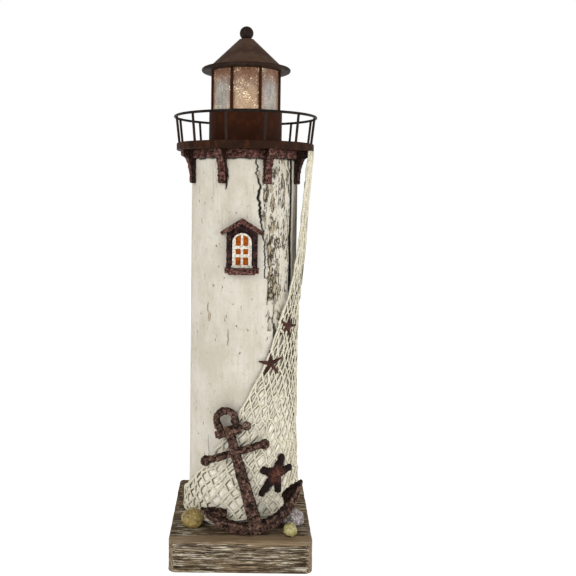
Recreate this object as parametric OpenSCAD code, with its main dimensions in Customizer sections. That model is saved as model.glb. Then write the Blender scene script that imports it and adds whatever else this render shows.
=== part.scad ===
// Wooden lighthouse figurine with a lit lantern, a draped fishing net and an anchor.
// Millimetres. +Z is up, the front faces -Y, and the origin is on the tower's axis
// at the underside of the base.

/* [Base block] */
// Width of the base along its front edge
base_front_w = 130; // [124:1:150]
// Width of the base along its back edge
base_back_w = 132; // [124:1:150]
// Depth of the base from front to back
base_depth = 126; // [122:1:150]
// Height of the base
base_h = 28.6; // [27:0.2:40]
// Radius of the base's upright corners
base_corner_r = 7; // [2:1:12]
// Radius of the worn edge along the top of the front and the back
base_edge_r = 2.5; // [1:0.5:4]
// How far the tower's axis stands behind the middle of the base
tower_setback = 11; // [8:1:14]

/* [Tower post] */
// Radius of the round wooden post
tower_r = 52; // [50:0.5:56]
// Height of the post
tower_h = 351.7; // [330:1:400]
// Radius of the bore for the lamp's cable
tower_bore_r = 9; // [6:0.5:14]
// How far the moulded collar under the gallery stands proud of the post
collar_proud = 3; // [1.5:0.25:6]
// Height of the collar
collar_h = 8; // [5:0.5:12]

/* [Gallery] */
// Radius of the gallery deck
deck_r = 67.3; // [66:0.25:76]
// Thickness of the gallery deck
deck_t = 7.3; // [5:0.1:10]
// Radius of the deck's rolled edge
deck_edge_r = 1.2; // [0.5:0.1:2.4]
// Number of corbels under the deck
corbel_n = 8; // [8:8]
// Width of one corbel
corbel_w = 7.4; // [5:0.1:10]
// Height of one corbel
corbel_h = 31.6; // [22:0.2:40]
// How far a corbel's nose stands short of the deck's edge
corbel_inset = 2.2; // [1.5:0.1:5]
// Height of the corbel's upright nose
corbel_nose_h = 4.8; // [3:0.2:8]
// How far a corbel's foot stands proud of the post
corbel_foot = 4; // [2.5:0.25:6]
// Number of balusters
baluster_n = 12; // [12:12]
// Radius of one baluster
baluster_r = 1.2; // [0.8:0.1:1.5]
// How far the balusters' feet stand in from the deck's edge
baluster_inset = 1.8; // [1.6:0.1:4]
// How far the balusters lean out over their height
baluster_lean = 2.9; // [0:0.1:5]
// Height of the handrail's middle above the deck
rail_h = 25.6; // [18:0.2:36]
// Radius of the handrail's bar
rail_bar_r = 1.25; // [0.9:0.05:2]

/* [Lantern] */
// Radius of the round drum below the glass
drum_r = 35.8; // [33:0.2:42]
// Height of the drum
drum_h = 31; // [20:0.5:44]
// Wall of the drum
drum_wall = 1.6; // [1:0.1:3]
// Height of the lit glass
glass_h = 38.7; // [28:0.5:55]
// Wall of the glass
glass_wall = 1.6; // [1:0.1:2.5]
// Number of bars round the glass
bar_n = 8; // [6:12]
// Width of one bar
bar_w = 2.4; // [1.6:0.1:5]
// Thickness of one bar
bar_t = 1.8; // [1:0.1:3]
// Radius of the roof's brim
brim_r = 43.6; // [41:0.2:52]
// Thickness of the brim
brim_t = 3.8; // [2.5:0.1:6]
// Radius of the roof cone at its foot
cone_r = 37; // [34:0.2:40]
// Radius of the flat on top of the roof cone
cone_top_r = 7.2; // [6:0.1:9]
// Height of the roof cone
cone_h = 28.6; // [18:0.2:40]
// Thickness of the roof's sheet metal
cone_wall = 1.4; // [1:0.1:2.2]
// Radius of the ball on the roof
ball_r = 6.75; // [5:0.05:9]

/* [Window] */
// Turn of the window round the tower from the front, in degrees
window_turn = -1.9; // [-6:0.1:4]
// Height of the window sill's top above the floor
window_z = 271.9; // [230:0.1:290]
// Half width of the casing
casing_half_w = 14.2; // [13:0.1:16]
// Half width of the opening in the casing
opening_half_w = 9.8; // [9.4:0.1:11]
// How far the casing stands proud of the post
casing_proud = 4.6; // [3.6:0.1:7]
// Half width of the gabled hood
hood_half_w = 19.9; // [18:0.1:24]
// Height of the hood's point above the sill
hood_point_h = 45.4; // [43:0.1:52]
// Rise of the hood from its ends to its point
hood_rise = 12.8; // [9:0.1:15]
// Upright thickness of the hood
hood_t = 5.3; // [3.5:0.1:7]
// How far the hood and the sill stand proud of the post
hood_proud = 7.4; // [7.2:0.1:10]
// Half width of the sill
sill_half_w = 15.6; // [14.8:0.1:19]
// Height of the sill
sill_h = 4.6; // [3:0.1:7]
// Half width of the white sash
sash_half_w = 8.85; // [8.4:0.05:9.3]
// Height of the sash to the top of its arch
sash_h = 31.8; // [30:0.1:33]
// Half width of the sash bars
sash_bar = 1.05; // [0.8:0.05:1.6]

/* [Anchor] */
// Lean of the anchor to the left, in degrees
anchor_tilt = 16.6; // [10:0.1:24]
// Lean of the anchor back towards the post, in degrees
anchor_lean = 1.4; // [0.5:0.1:1.6]
// Distance of the anchor's foot in front of the post
anchor_gap = 8; // [7.8:0.1:12]
// Place of the anchor's foot to the right of the tower's axis
anchor_x = 16.1; // [10:0.1:20]
// Outer radius of the curved arms
arm_r = 50; // [46:0.5:52]
// Thickness of the arms at the crown
arm_t = 9; // [7:0.1:12]
// Thickness of the anchor from front to back
anchor_t = 8; // [7.8:0.1:9]
// How far the arms' middle stands to the right of the shank
crown_shift = 3.5; // [0:0.1:4]
// Height of the stock along the shank
stock_b = 77; // [66:0.1:82]
// Half length of the stock between its balls
stock_half_l = 28.1; // [22:0.1:34]
// Radius of the stock's bar
stock_r = 2.9; // [2:0.05:3.1]
// Radius of the balls on the stock
stock_ball_r = 4.3; // [3.6:0.1:5.2]
// Height of the shackle's pin along the shank
pin_b = 97.3; // [93:0.1:104]
// Radius of the shackle's pin
pin_r = 1.7; // [1.3:0.05:2]
// Distance from the pin to the middle of the shackle's bow
bow_b = 10.7; // [9:0.1:15]
// Radius of the shackle's bow, to the middle of its bar
bow_r = 8.4; // [8.1:0.1:11]
// Radius of the shackle's bar
bow_bar_r = 2.9; // [2.2:0.05:3]
// Length of a palm along its arm
palm_l = 25; // [20:0.5:28]
// Width of a palm at its inner end
palm_w = 16.5; // [12:0.5:17]
// Thickness of a palm
palm_t = 3; // [2:0.1:4]
// Roll of the palms towards the front, in degrees
palm_roll = 18; // [0:1:24]

/* [Net, starfish and stones] */
// Cells across the net
net_cells = 10; // [6:11]
// Half rows of cells down the net
net_half_rows = 24; // [16:2:24]
// Width of the net's cord
net_cord = 1.1; // [0.8:0.05:1.6]
// Space between the post and the net
net_gap = 0.4; // [0.3:0.05:0.8]
// How far the net hangs clear of the corbels' noses under the gallery
net_hang_out = 0.5; // [0.4:0.1:2]
// Height of the net's right end above the base
net_hem_h = 24; // [14:0.5:36]
// Reach of the large starfish's arms
starfish_large_r = 18.5; // [14:0.5:20]
// Reach of the middle starfish's arms
starfish_middle_r = 12.8; // [10:0.2:16]
// Reach of the small starfish's arms
starfish_small_r = 12; // [9:0.2:14]
// Width of the left stone
stone_left_w = 21; // [16:0.5:23]
// Width of the right stone
stone_right_w = 24; // [18:0.5:25]
// Width of the small stone
stone_small_w = 13; // [9:0.5:14]

/* [Lamp and batteries] */
// Diameter of one AA cell
cell_d = 14.2; // [13.5:0.1:14.5]
// Length of one AA cell over its nub
cell_l = 50.5; // [49:0.1:51.5]
// Wall of the battery box
box_wall = 1.6; // [1.2:0.1:2]
// How deep the battery box lies inside the base's underside
box_recess = 1.5; // [1:0.1:2.5]
// Thickness of the battery door
door_t = 1.6; // [1.2:0.1:1.8]
// Travel of the switch knob
switch_travel = 4; // [2:0.5:5]
// Radius of the lamp's cable
cable_r = 1.1; // [0.8:0.05:1.5]
// Radius of the lamp's holder
holder_r = 8; // [6.5:0.25:12]
// Radius of the lamp's dome
lamp_r = 5; // [3.5:0.25:6]

/* [Hidden] */
$fn = 96;

// Clearances
run_gap = 0.1;   // round a pin that turns
seat_gap = 0.3;  // between pieces that move past each other
fit_gap = 0.05;  // round a screw or a fixed pin

// Collar, and heights of the stack
collar_r = tower_r + collar_proud;
tower_top = base_h + tower_h;
deck_top = tower_top + deck_t;
drum_top = deck_top + drum_h;
glass_top = drum_top + glass_h;
brim_top = glass_top + brim_t;
cone_top = brim_top + cone_h;

// Plan of the base
base_front_y = -(base_depth / 2 + tower_setback);
base_back_y = base_depth / 2 - tower_setback;

// Gallery
corbel_step = 360 / corbel_n;
corbel_reach = deck_r - corbel_inset;
foot_r = deck_r - baluster_inset;
rail_r = foot_r + baluster_lean + rail_bar_r / 2 - 0.1;
rail_z = deck_top + rail_h;
deck_bore_r = 6;

// Lantern
glass_r = drum_r - bar_t - 0.6;
bar_mid_r = drum_r - bar_t / 2;

// Battery box, in the underside of the base in front of the tower's axis
bay_l = cell_l + 7.5;
switch_bay_l = 13.2;
box_l = bay_l + switch_bay_l + 3 * box_wall;
box_w = 2 * cell_d + 3 + 2 * box_wall;
box_h = cell_d + 4.3;
box_top = box_recess + box_h;
box_x0 = -box_l / 2;
box_y = -41;
bay_x0 = box_x0 + box_wall;
bay_x1 = bay_x0 + bay_l;
switch_x0 = bay_x1 + box_wall;
switch_x1 = switch_x0 + switch_bay_l;
pocket_gap = 1;
ear_l = 6;
ear_w = 7;
ear_t = 2;
ear_x = box_l / 2 + 3;
box_screw_r = 1.1;
box_screw_l = 12;
cell_z = box_top - box_wall - 0.4 - cell_d / 2;
cell_x0 = bay_x0 + 4.9;
hinge_x = bay_x0 + 2.2;
hinge_r = 1.5;
hinge_z = box_recess + hinge_r;
hinge_pin_r = 0.8;
hinge_pin_l = 1;
switch_x = (switch_x0 + switch_x1) / 2;
knob_w = 3.6;
knob_l = 4.6;
flange_l = 6.8;
switch_post_y = flange_l / 2 + switch_travel / 2 + 0.4;
switch_post_l = 2.2;
switch_body_z = box_recess + door_t + 1.8;
cable_z = 12;
cable_hole_r = 3;
cable_bend = [switch_x, box_y + box_w / 2 + pocket_gap + 1, cable_z];
contact_t = 0.5;
contact_w = 10;
spring_r = 4;
spring_end_r = 2.4;
nub_r = 2.75;
nub_l = 1.2;

// Screws that hold the post on the base
post_screw_x = 30;
post_screw_y = 6;
post_screw_r = 1.9;
post_screw_head_r = 4;
post_screw_sink = 1.2;
post_screw_l = 40;

function arc(cx, cy, r, a0, a1, steps) =
  [for (k = [0 : steps]) let (a = a0 + (a1 - a0) * k / steps) [cx + r * cos(a), cy + r * sin(a)]];

module ring_of(count, k, start = 0) rotate([0, 0, start + 360 / count * k]) children();

// A straight round bar between two points
module bar_between(p, q, r) {
  d = q - p;
  len = norm(d);
  translate(p) rotate([0, acos(d[2] / len), atan2(d[1], d[0])]) cylinder(h = len, r = r);
}

// Base
module base_plan() {
  r = base_corner_r;
  f = base_front_w / 2;
  b = base_back_w / 2;
  polygon(concat(
    arc(f - r, base_front_y + r, r, -90, 0, 6),
    arc(b - r, base_back_y - r, r, 0, 90, 6),
    arc(-b + r, base_back_y - r, r, 90, 180, 6),
    arc(-f + r, base_front_y + r, r, 180, 270, 6)));
}

module base_side_profile() {
  r = base_edge_r;
  polygon(concat(
    [[base_front_y - 1, 0], [base_back_y + 1, 0]],
    [[base_back_y + 1, base_h - r]],
    arc(base_back_y - r, base_h - r, r, 0, 90, 5),
    arc(base_front_y + r, base_h - r, r, 90, 180, 5),
    [[base_front_y - 1, base_h - r]]));
}

module battery_pocket() {
  depth = box_top + 0.4;
  translate([box_x0 - pocket_gap, box_y - box_w / 2 - pocket_gap, -1])
    cube([box_l + 2 * pocket_gap, box_w + 2 * pocket_gap, depth + 1]);
  translate([-box_l / 2 - ear_l - pocket_gap, box_y - ear_w / 2 - pocket_gap / 2, -1])
    cube([box_l + 2 * (ear_l + pocket_gap), ear_w + pocket_gap, box_recess + ear_t + 1]);
}

module cable_passage() {
  // Starts in the pocket, in line with the cable
  outside = [1.2 * cable_bend[0], 1.2 * cable_bend[1], cable_z];
  bar_between(outside, [0, 0, cable_z], cable_hole_r);
  translate([0, 0, cable_z]) sphere(r = 1.2 * cable_hole_r);
  translate([0, 0, cable_z]) cylinder(h = base_h, r = cable_hole_r);
}

module base_block() color("#85705a")
  difference() {
    intersection() {
      linear_extrude(base_h) base_plan();
      rotate([90, 0, 90]) translate([0, 0, -base_back_w])
        linear_extrude(2 * base_back_w) base_side_profile();
    }
    battery_pocket();
    cable_passage();
    for (s = [-1, 1]) {
      translate([s * post_screw_x, post_screw_y, -1])
        cylinder(h = base_h + 2, r = post_screw_r + fit_gap);
      translate([s * post_screw_x, post_screw_y, -1])
        cylinder(h = 1 + post_screw_sink, r = post_screw_head_r + 0.3);
      translate([s * post_screw_x, post_screw_y, post_screw_sink])
        cylinder(h = post_screw_head_r, r1 = post_screw_head_r + 0.3, r2 = 0.3);
      translate([s * ear_x, box_y, 0]) cylinder(h = box_screw_l + 2, r = box_screw_r + fit_gap);
    }
  }

// Tower
module tower_post() color("#d6cdbb")
  difference() {
    translate([0, 0, base_h]) cylinder(h = tower_h, r = tower_r);
    translate([0, 0, base_h - 1]) cylinder(h = tower_h + 2, r = tower_bore_r);
    for (s = [-1, 1])
      translate([s * post_screw_x, post_screw_y, base_h - 1])
        cylinder(h = post_screw_l - base_h + post_screw_sink + 3, r = post_screw_r + fit_gap);
  }

module tower_collar() color("#7a4f47")
  translate([0, 0, tower_top - collar_h])
    difference() {
      cylinder(h = collar_h, r = collar_r);
      translate([0, 0, -1]) cylinder(h = collar_h + 2, r = tower_r);
    }

// One corbel, seen from the side: x is the distance from the tower's axis
module corbel_profile() {
  top = tower_top;
  foot = tower_r + corbel_foot;
  nose_z = top - corbel_nose_h;
  low = top - corbel_h;
  run = corbel_reach - foot - 1.5;
  drop = nose_z - low - 1.5;
  curve = [for (k = [0 : 8]) let (a = 90 * k / 8)
    [foot + run * (1 - sin(a)), nose_z - 1.5 - drop * (1 - cos(a))]];
  polygon(concat(
    [[tower_r - 4, top], [corbel_reach, top], [corbel_reach, nose_z],
     [corbel_reach - 1, nose_z - 1.5]],
    curve, [[foot, low], [tower_r - 4, low]]));
}

module corbel(k) color("#7a4f47")
  ring_of(corbel_n, k, -90 + corbel_step / 2)
    difference() {
      rotate([90, 0, 0]) translate([0, 0, -corbel_w / 2]) linear_extrude(corbel_w) corbel_profile();
      translate([0, 0, tower_top - corbel_h - 1]) cylinder(h = corbel_h + 2, r = tower_r);
      translate([0, 0, tower_top - collar_h]) cylinder(h = collar_h + 1, r = collar_r);
    }

// Gallery
module gallery_deck() color("#4e382c")
  translate([0, 0, tower_top]) rotate_extrude()
    polygon(concat(
      [[deck_bore_r, 0], [deck_r - deck_edge_r, 0]],
      arc(deck_r - deck_edge_r, deck_edge_r, deck_edge_r, -90, 0, 6),
      arc(deck_r - deck_edge_r, deck_t - deck_edge_r, deck_edge_r, 0, 90, 6),
      [[deck_bore_r, deck_t]]));

module rail_ring() translate([0, 0, rail_z]) rotate_extrude() translate([rail_r, 0]) circle(r = rail_bar_r);

module baluster(k) color("#33261f")
  difference() {
    ring_of(baluster_n, k, -90 + 180 / baluster_n)
      bar_between([foot_r - baluster_lean / rail_h * 3, 0, deck_top - 3],
                  [foot_r + baluster_lean, 0, rail_z], baluster_r);
    translate([0, 0, deck_top - 8]) cylinder(h = 8, r = deck_r + 5);
    rail_ring();
  }

module handrail() color("#33261f") rail_ring();

// Lantern
module lantern_drum() color("#4a2a1d")
  translate([0, 0, deck_top])
    difference() {
      cylinder(h = drum_h, r = drum_r);
      translate([0, 0, -1]) cylinder(h = drum_h + 1 - drum_wall, r = drum_r - drum_wall);
      cylinder(h = drum_h + 1, r = deck_bore_r);
    }

module lantern_glass() color("#d9b98c")
  translate([0, 0, drum_top])
    difference() {
      cylinder(h = glass_h, r = glass_r);
      translate([0, 0, -1]) cylinder(h = glass_h + 2, r = glass_r - glass_wall);
    }

module lantern_bars() color("#3b2419")
  for (k = [0 : bar_n - 1])
    ring_of(bar_n, k, -90 + 180 / bar_n)
      translate([bar_mid_r - bar_t / 2, -bar_w / 2, drum_top]) cube([bar_t, bar_w, glass_h]);

module roof_brim() color("#4e382c")
  translate([0, 0, glass_top]) rotate_extrude()
    polygon(concat(
      [[0, 0], [brim_r - brim_t / 2, 0]],
      arc(brim_r - brim_t / 2, brim_t / 2, brim_t / 2, -90, 90, 10),
      [[0, brim_t]]));

module roof_cone() color("#503a2e")
  translate([0, 0, brim_top]) rotate_extrude()
    polygon([
      [cone_r - 1.6 * cone_wall, 0], [cone_r, 0], [cone_top_r + 1, cone_h - 1],
      [cone_top_r, cone_h], [1.5, cone_h], [1.5, cone_h - 1.3 * cone_wall],
      [cone_top_r - 0.8, cone_h - 1.3 * cone_wall]]);

module finial() color("#3a2c25") {
  stud_l = 3 + cone_wall;
  translate([0, 0, cone_top]) {
    intersection() {
      translate([0, 0, ball_r - 0.6]) sphere(r = ball_r);
      cylinder(h = 3 * ball_r, r = 2 * ball_r);
    }
    translate([0, 0, -stud_l]) cylinder(h = stud_l + 1, r = 1.5 - fit_gap);
  }
}

// Window: pieces are drawn in the front view and cut to the round of the post
module on_tower(proud, from_proud = -6) {
  rotate([0, 0, window_turn])
    difference() {
      translate([0, -tower_r - from_proud, 0]) rotate([90, 0, 0])
        linear_extrude(proud - from_proud) children();
      translate([0, 0, base_h]) cylinder(h = tower_h, r = tower_r);
    }
}

hood_end_z = window_z + hood_point_h - hood_rise;
hood_low_point_z = window_z + hood_point_h - hood_t;
hood_low_half_w = hood_half_w - 1.6;
hood_low_end_z = hood_end_z - 2.9;
hood_low_slope = (hood_low_point_z - hood_low_end_z) / hood_low_half_w;
function under_hood(x) = hood_low_point_z - hood_low_slope * abs(x);
back_proud = 1.4;
sash_proud = 3.2;
pane_proud = 2.4;
arch_z = window_z + sash_h - sash_half_w;

module window_hood() color("#6e463e")
  on_tower(hood_proud)
    polygon([
      [-hood_half_w, hood_end_z], [-hood_low_half_w, hood_low_end_z], [0, hood_low_point_z],
      [hood_low_half_w, hood_low_end_z], [hood_half_w, hood_end_z], [0, window_z + hood_point_h]]);

module casing_outline()
  polygon([
    [-casing_half_w, window_z], [casing_half_w, window_z],
    [casing_half_w, under_hood(casing_half_w)], [0, hood_low_point_z],
    [-casing_half_w, under_hood(casing_half_w)]]);

module window_casing() color("#5d3a33") {
  on_tower(casing_proud)
    difference() {
      casing_outline();
      translate([-opening_half_w, window_z - 1]) square([2 * opening_half_w, hood_point_h + 2]);
    }
  on_tower(back_proud) casing_outline();
}

module window_sill() color("#6e463e")
  on_tower(hood_proud) {
    translate([-sill_half_w, window_z - sill_h]) square([2 * sill_half_w, sill_h]);
    translate([-sill_half_w + 3.5, window_z - sill_h - 1.4]) square([2 * sill_half_w - 7, 2]);
  }

// The six panes: two columns and three rows, the top ones under the arch
pane_rows = [[2.5, 9.9], [12.5, 17.5], [20.2, 30]];
pane_out = 5.8;
pane_corner_r = 0.9;

module round_rect(x0, y0, x1, y1, r)
  polygon(concat(
    arc(x1 - r, y0 + r, r, -90, 0, 4), arc(x1 - r, y1 - r, r, 0, 90, 4),
    arc(x0 + r, y1 - r, r, 90, 180, 4), arc(x0 + r, y0 + r, r, 180, 270, 4)));

module pane_outlines()
  intersection() {
    for (s = [-1, 1], row = pane_rows)
      round_rect(s > 0 ? sash_bar : -pane_out, window_z + row[0],
                 s > 0 ? pane_out : -sash_bar, window_z + row[1], pane_corner_r);
    union() {
      translate([-sash_half_w, window_z]) square([2 * sash_half_w, arch_z - window_z]);
      translate([0, arch_z]) circle(r = sash_half_w - 1.65);
    }
  }

module window_sash() color("#e9e2d2")
  on_tower(sash_proud, back_proud)
    difference() {
      union() {
        translate([-sash_half_w, window_z]) square([2 * sash_half_w, arch_z - window_z]);
        translate([0, arch_z]) circle(r = sash_half_w);
        translate([-opening_half_w, window_z]) square([2 * opening_half_w, 2]);
      }
      pane_outlines();
    }

module window_panes() color("#c9680f") on_tower(pane_proud, back_proud) pane_outlines();

// Anchor: drawn upright with its foot at the origin, then leaned against the post
arm_mid_b = arm_r + 0.5;
arm_hollow_r = arm_r - arm_t + 3.5;
arm_hollow_b = arm_mid_b + 3.5;
crown_low = arm_mid_b * cos(anchor_tilt) + crown_shift * sin(anchor_tilt) - arm_r;
anchor_z = base_h + fit_gap - crown_low * cos(anchor_lean) + anchor_t / 2 * sin(anchor_lean);
eye_r = 4.4;
eye_half_w = 4.2;
shank_low_half_w = 6.2;
shank_top_half_w = 3.7;
palm_slope = 31;
palm_tip_a = 0.955 * arm_r;
palm_tip_b = arm_mid_b - 0.276 * arm_r;
function palm_line(a) = palm_tip_b - 0.4 + (a - palm_tip_a) * tan(palm_slope);
ear_r = 3.8;
ear_in = eye_half_w + seat_gap;
ear_out = ear_in + 2 * bow_bar_r + 0.6;
leg_a = (ear_in + ear_out) / 2;
bow_leg_l = bow_b - sqrt(bow_r * bow_r - leg_a * leg_a);

module anchor_place()
  translate([anchor_x, -tower_r - anchor_gap, anchor_z])
    rotate([-anchor_lean, 0, 0]) rotate([0, -anchor_tilt, 0]) children();

module across(a0, a1, r) translate([a0, 0, 0]) rotate([0, 90, 0]) cylinder(h = a1 - a0, r = r);

// One palm: a spade-shaped plate on the inner side of an arm, with its point outwards
module palm()
  translate([-palm_tip_a, 0, palm_tip_b]) rotate([0, palm_slope, 0]) translate([0, 0, -palm_t])
    rotate([palm_roll, 0, 0]) linear_extrude(palm_t)
      polygon([
        [0, -1.4], [palm_l * 0.4, -palm_w * 0.4], [palm_l * 0.75, -palm_w / 2],
        [palm_l * 0.96, -palm_w / 2 + 0.8], [palm_l, -palm_w / 2 + 2.5],
        [palm_l, palm_w / 2 - 2.5], [palm_l * 0.96, palm_w / 2 - 0.8],
        [palm_l * 0.75, palm_w / 2], [palm_l * 0.4, palm_w * 0.4], [0, 1.4]]);

// The crescent of the two arms, cut off just under the palms' faces
module arms_outline() {
  near = 0.36 * arm_r;
  far = 1.2 * arm_r;
  translate([crown_shift, 0]) difference() {
    translate([0, arm_mid_b]) circle(r = arm_r);
    translate([0, arm_hollow_b]) circle(r = arm_hollow_r);
    polygon([
      [-far, palm_line(far)], [-near, palm_line(near)], [-near, arm_mid_b], [near, arm_mid_b],
      [near, palm_line(near)], [far, palm_line(far)], [far, 3 * arm_r], [-far, 3 * arm_r]]);
  }
}

module anchor_body() color("#6b4a3f")
  anchor_place()
    difference() {
      union() {
        rotate([90, 0, 0]) translate([0, 0, -anchor_t / 2]) linear_extrude(anchor_t)
          arms_outline();
        // Shank
        rotate([90, 0, 0]) translate([0, 0, -anchor_t / 2]) linear_extrude(anchor_t)
          polygon([
            [-shank_low_half_w, arm_t / 2], [shank_low_half_w, arm_t / 2],
            [shank_top_half_w, pin_b - 3], [-shank_top_half_w, pin_b - 3]]);
        translate([0, 0, pin_b]) across(-eye_half_w, eye_half_w, eye_r);
        translate([crown_shift, 0, 0]) {
          palm();
          mirror([1, 0, 0]) palm();
        }
      }
      translate([0, 0, pin_b]) across(-eye_half_w - 1, eye_half_w + 1, pin_r + run_gap);
      translate([0, 0, stock_b]) across(-10, 10, stock_r + fit_gap);
    }

module anchor_stock() color("#5d4036")
  anchor_place() translate([0, 0, stock_b]) {
    across(-stock_half_l, stock_half_l, stock_r);
    for (s = [-1, 1]) translate([s * stock_half_l, 0, 0]) sphere(r = stock_ball_r);
  }

module anchor_shackle() color("#5d4036")
  anchor_place() translate([0, 0, pin_b])
    difference() {
      union() {
        difference() {
          translate([0, 0, bow_b]) rotate([90, 0, 0]) rotate_extrude()
            translate([bow_r, 0]) circle(r = bow_bar_r);
          translate([-2 * bow_r, -2 * bow_bar_r, bow_leg_l - 2 * bow_r])
            cube([4 * bow_r, 4 * bow_bar_r, 2 * bow_r]);
        }
        for (s = [-1, 1]) {
          translate([s * leg_a, 0, 0]) cylinder(h = bow_leg_l, r = bow_bar_r);
          translate([s * leg_a, 0, bow_leg_l]) sphere(r = 1.2 * bow_bar_r);
          across(s > 0 ? ear_in : -ear_out, s > 0 ? ear_out : -ear_in, ear_r);
        }
      }
      across(-ear_out - 1, ear_out + 1, pin_r + fit_gap);
    }

module anchor_pin() color("#4d352c")
  anchor_place() translate([0, 0, pin_b]) {
    across(-ear_out - 0.2, ear_out + 3.6, pin_r);
    across(-ear_out - 2.2, -ear_out - 0.2, pin_r + 1.2);
    // Flat eye for tightening the pin
    translate([ear_out + 6, 1.6, 0]) rotate([90, 0, 0])
      difference() {
        cylinder(h = 3.2, r = 4);
        translate([0, 0, -1]) cylinder(h = 6, r = 1.3);
      }
  }

// Net: a thin sheet of diamond cells, narrow at the gallery and wide at the foot
net_top_z = tower_top - 1.5;
net_in_r = tower_r + net_gap;
net_t = 1;
// Height as a share of the net's drop from its top, and the turn of its left edge
net_left_edge = [
  [0, 63], [0.1, 67], [0.2, 64], [0.3, 58], [0.38, 51], [0.44, 41], [0.5, 33], [0.56, 24],
  [0.62, 12], [0.67, 2], [0.72, -7], [0.8, -26], [0.86, -42], [0.9, -58], [0.94, -76], [1, -86]];
net_right_edge = [[0, 72], [0.1, 84], [0.2, 93], [0.35, 99], [0.6, 102], [1, 106]];
// Distance of the net from the post at its top, and the share of it on the way down
net_off_post = corbel_reach + net_hang_out - net_in_r;
net_hang = [
  [0, 1], [0.012, 1], [0.04, 0.84], [0.14, 0.56], [0.26, 0.42], [0.32, 0.29], [0.45, 0.06],
  [0.55, 0], [1, 0]];
// Extra distance of the left edge near the foot, where the cells turn fast round the post
net_stand = [[0, 0], [0.65, 0], [0.78, 0.4], [0.86, 1.2], [1, 1.2]];
// Height of the hem as a share of net_hem_h, from the net's left to its right edge
net_hem = [[0, 0.08], [0.2, 0.2], [0.45, 0.46], [0.75, 0.6], [1, 1]];
// How far the left foot of the net spreads over the base
net_spread = 6;

function net_mix(p, q, t) = p + (q - p) * t;
function net_point(i, j, out) =
  let (
    u = i / (2 * net_cells),
    v = j / net_half_rows,
    turn = net_mix(lookup(v, net_left_edge), lookup(v, net_right_edge), u),
    z = net_mix(net_top_z, base_h + net_hem_h * lookup(u, net_hem), v),
    foot = net_spread * max(0, (v - 0.88) / 0.12) * max(0, 1 - u / 0.25),
    stand = lookup(v, net_stand) * (1 - u),
    r = net_in_r + net_off_post * lookup(v, net_hang) + foot + stand + (out ? net_t : 0))
  [r * sin(turn), -r * cos(turn), z];

net_nodes_i = 2 * net_cells + 1;
net_nodes_j = net_half_rows + 1;
net_diamonds = [for (j = [1 : net_half_rows - 1], i = [1 : 2 * net_cells - 1])
  if ((i + j) % 2 == 1) [i, j]];
function net_id(i, j, out) = (out ? net_nodes_i * net_nodes_j : 0) + j * net_nodes_i + i;
function net_corners(d) =
  [[d[0], d[1] - 1], [d[0] + 1, d[1]], [d[0], d[1] + 1], [d[0] - 1, d[1]]];
function net_hole(d, out) =
  let (
    c = [for (n = net_corners(d)) net_point(n[0], n[1], out)],
    p = norm(c[1] - c[3]) / 2,
    q = norm(c[0] - c[2]) / 2,
    keep = max(0.25, 1 - net_cord / 2 * sqrt(p * p + q * q) / (p * q)))
  [for (n = net_corners(d)) net_point(net_mix(d[0], n[0], keep), net_mix(d[1], n[1], keep), out)];
net_points = concat(
  [for (out = [false, true], j = [0 : net_nodes_j - 1], i = [0 : net_nodes_i - 1])
    net_point(i, j, out)],
  [for (d = net_diamonds, out = [false, true], p = net_hole(d, out)) p]);
net_hole_start = 2 * net_nodes_i * net_nodes_j;
function net_is_edge(d, k) =
  let (
    step = [[1, -1], [1, 1], [-1, 1], [-1, -1]][k],
    n = d + step)
  n[0] < 1 || n[0] > 2 * net_cells - 1 || n[1] < 1 || n[1] > net_half_rows - 1;
function net_quad(a, b, c, d) = [[a, b, c], [a, c, d]];
net_faces = [
  for (m = [0 : len(net_diamonds) - 1])
    let (
      d = net_diamonds[m],
      c = net_corners(d),
      h = net_hole_start + 8 * m)
    for (k = [0 : 3])
      let (
        n = (k + 1) % 4,
        a_in = net_id(c[k][0], c[k][1], false),
        b_in = net_id(c[n][0], c[n][1], false),
        a_out = net_id(c[k][0], c[k][1], true),
        b_out = net_id(c[n][0], c[n][1], true))
      for (f = concat(
          net_quad(a_out, b_out, h + 4 + n, h + 4 + k),
          net_quad(b_in, a_in, h + k, h + n),
          net_quad(h + 4 + k, h + 4 + n, h + n, h + k),
          net_is_edge(d, k) ? net_quad(a_in, b_in, b_out, a_out) : []))
        f
];

module fishing_net() color("#d8cfb8") polyhedron(points = net_points, faces = net_faces);

// Starfish: five arms round a domed middle, flat at the back. Each arm has its direction,
// clockwise from straight up, and its share of the reach.
even_arms = [for (k = [0 : 4]) [72 * k, 1]];
large_arms = [[20, 1], [76, 0.9], [172, 1], [224, 1.3], [292, 0.95]];

// Distance of the net's outer face from the tower's axis at a height and an azimuth
function net_face_r(z, azimuth) =
  let (
    v = (net_top_z - z) / (net_top_z - base_h),
    left = lookup(v, net_left_edge),
    u = (azimuth - left) / (lookup(v, net_right_edge) - left))
  net_in_r + net_off_post * lookup(v, net_hang) + lookup(v, net_stand) * (1 - u) + net_t;

// Distance of a starfish's flat back from the tower's axis, clear of the net above and below it
function starfish_back_r(high, low, face) =
  seat_gap + max(net_face_r(high, face), net_face_r(low, face));

module starfish(reach, arm, tip, turn, face, height, spin, arms)
  rotate([0, 0, turn])
    translate([0, -starfish_back_r(height + reach, height - reach, face) / cos(face - turn), height])
      rotate([0, 0, face - turn])
        intersection() {
          union() {
            for (a = arms)
              rotate([0, a[0] + spin, 0]) {
                cylinder(h = reach * a[1] - tip, r1 = arm * 1.15, r2 = tip * 0.85);
                translate([0, 0, reach * a[1] - tip]) sphere(r = tip);
              }
            sphere(r = arm * 1.35);
          }
          translate([-2 * reach, -3 * arm, -2 * reach]) cube([4 * reach, 3 * arm, 4 * reach]);
        }

module starfish_large() color("#4a2c22")
  starfish(starfish_large_r, 4, 2.9, 36, 26, base_h + 0.141 * tower_h, 0, large_arms);

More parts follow.
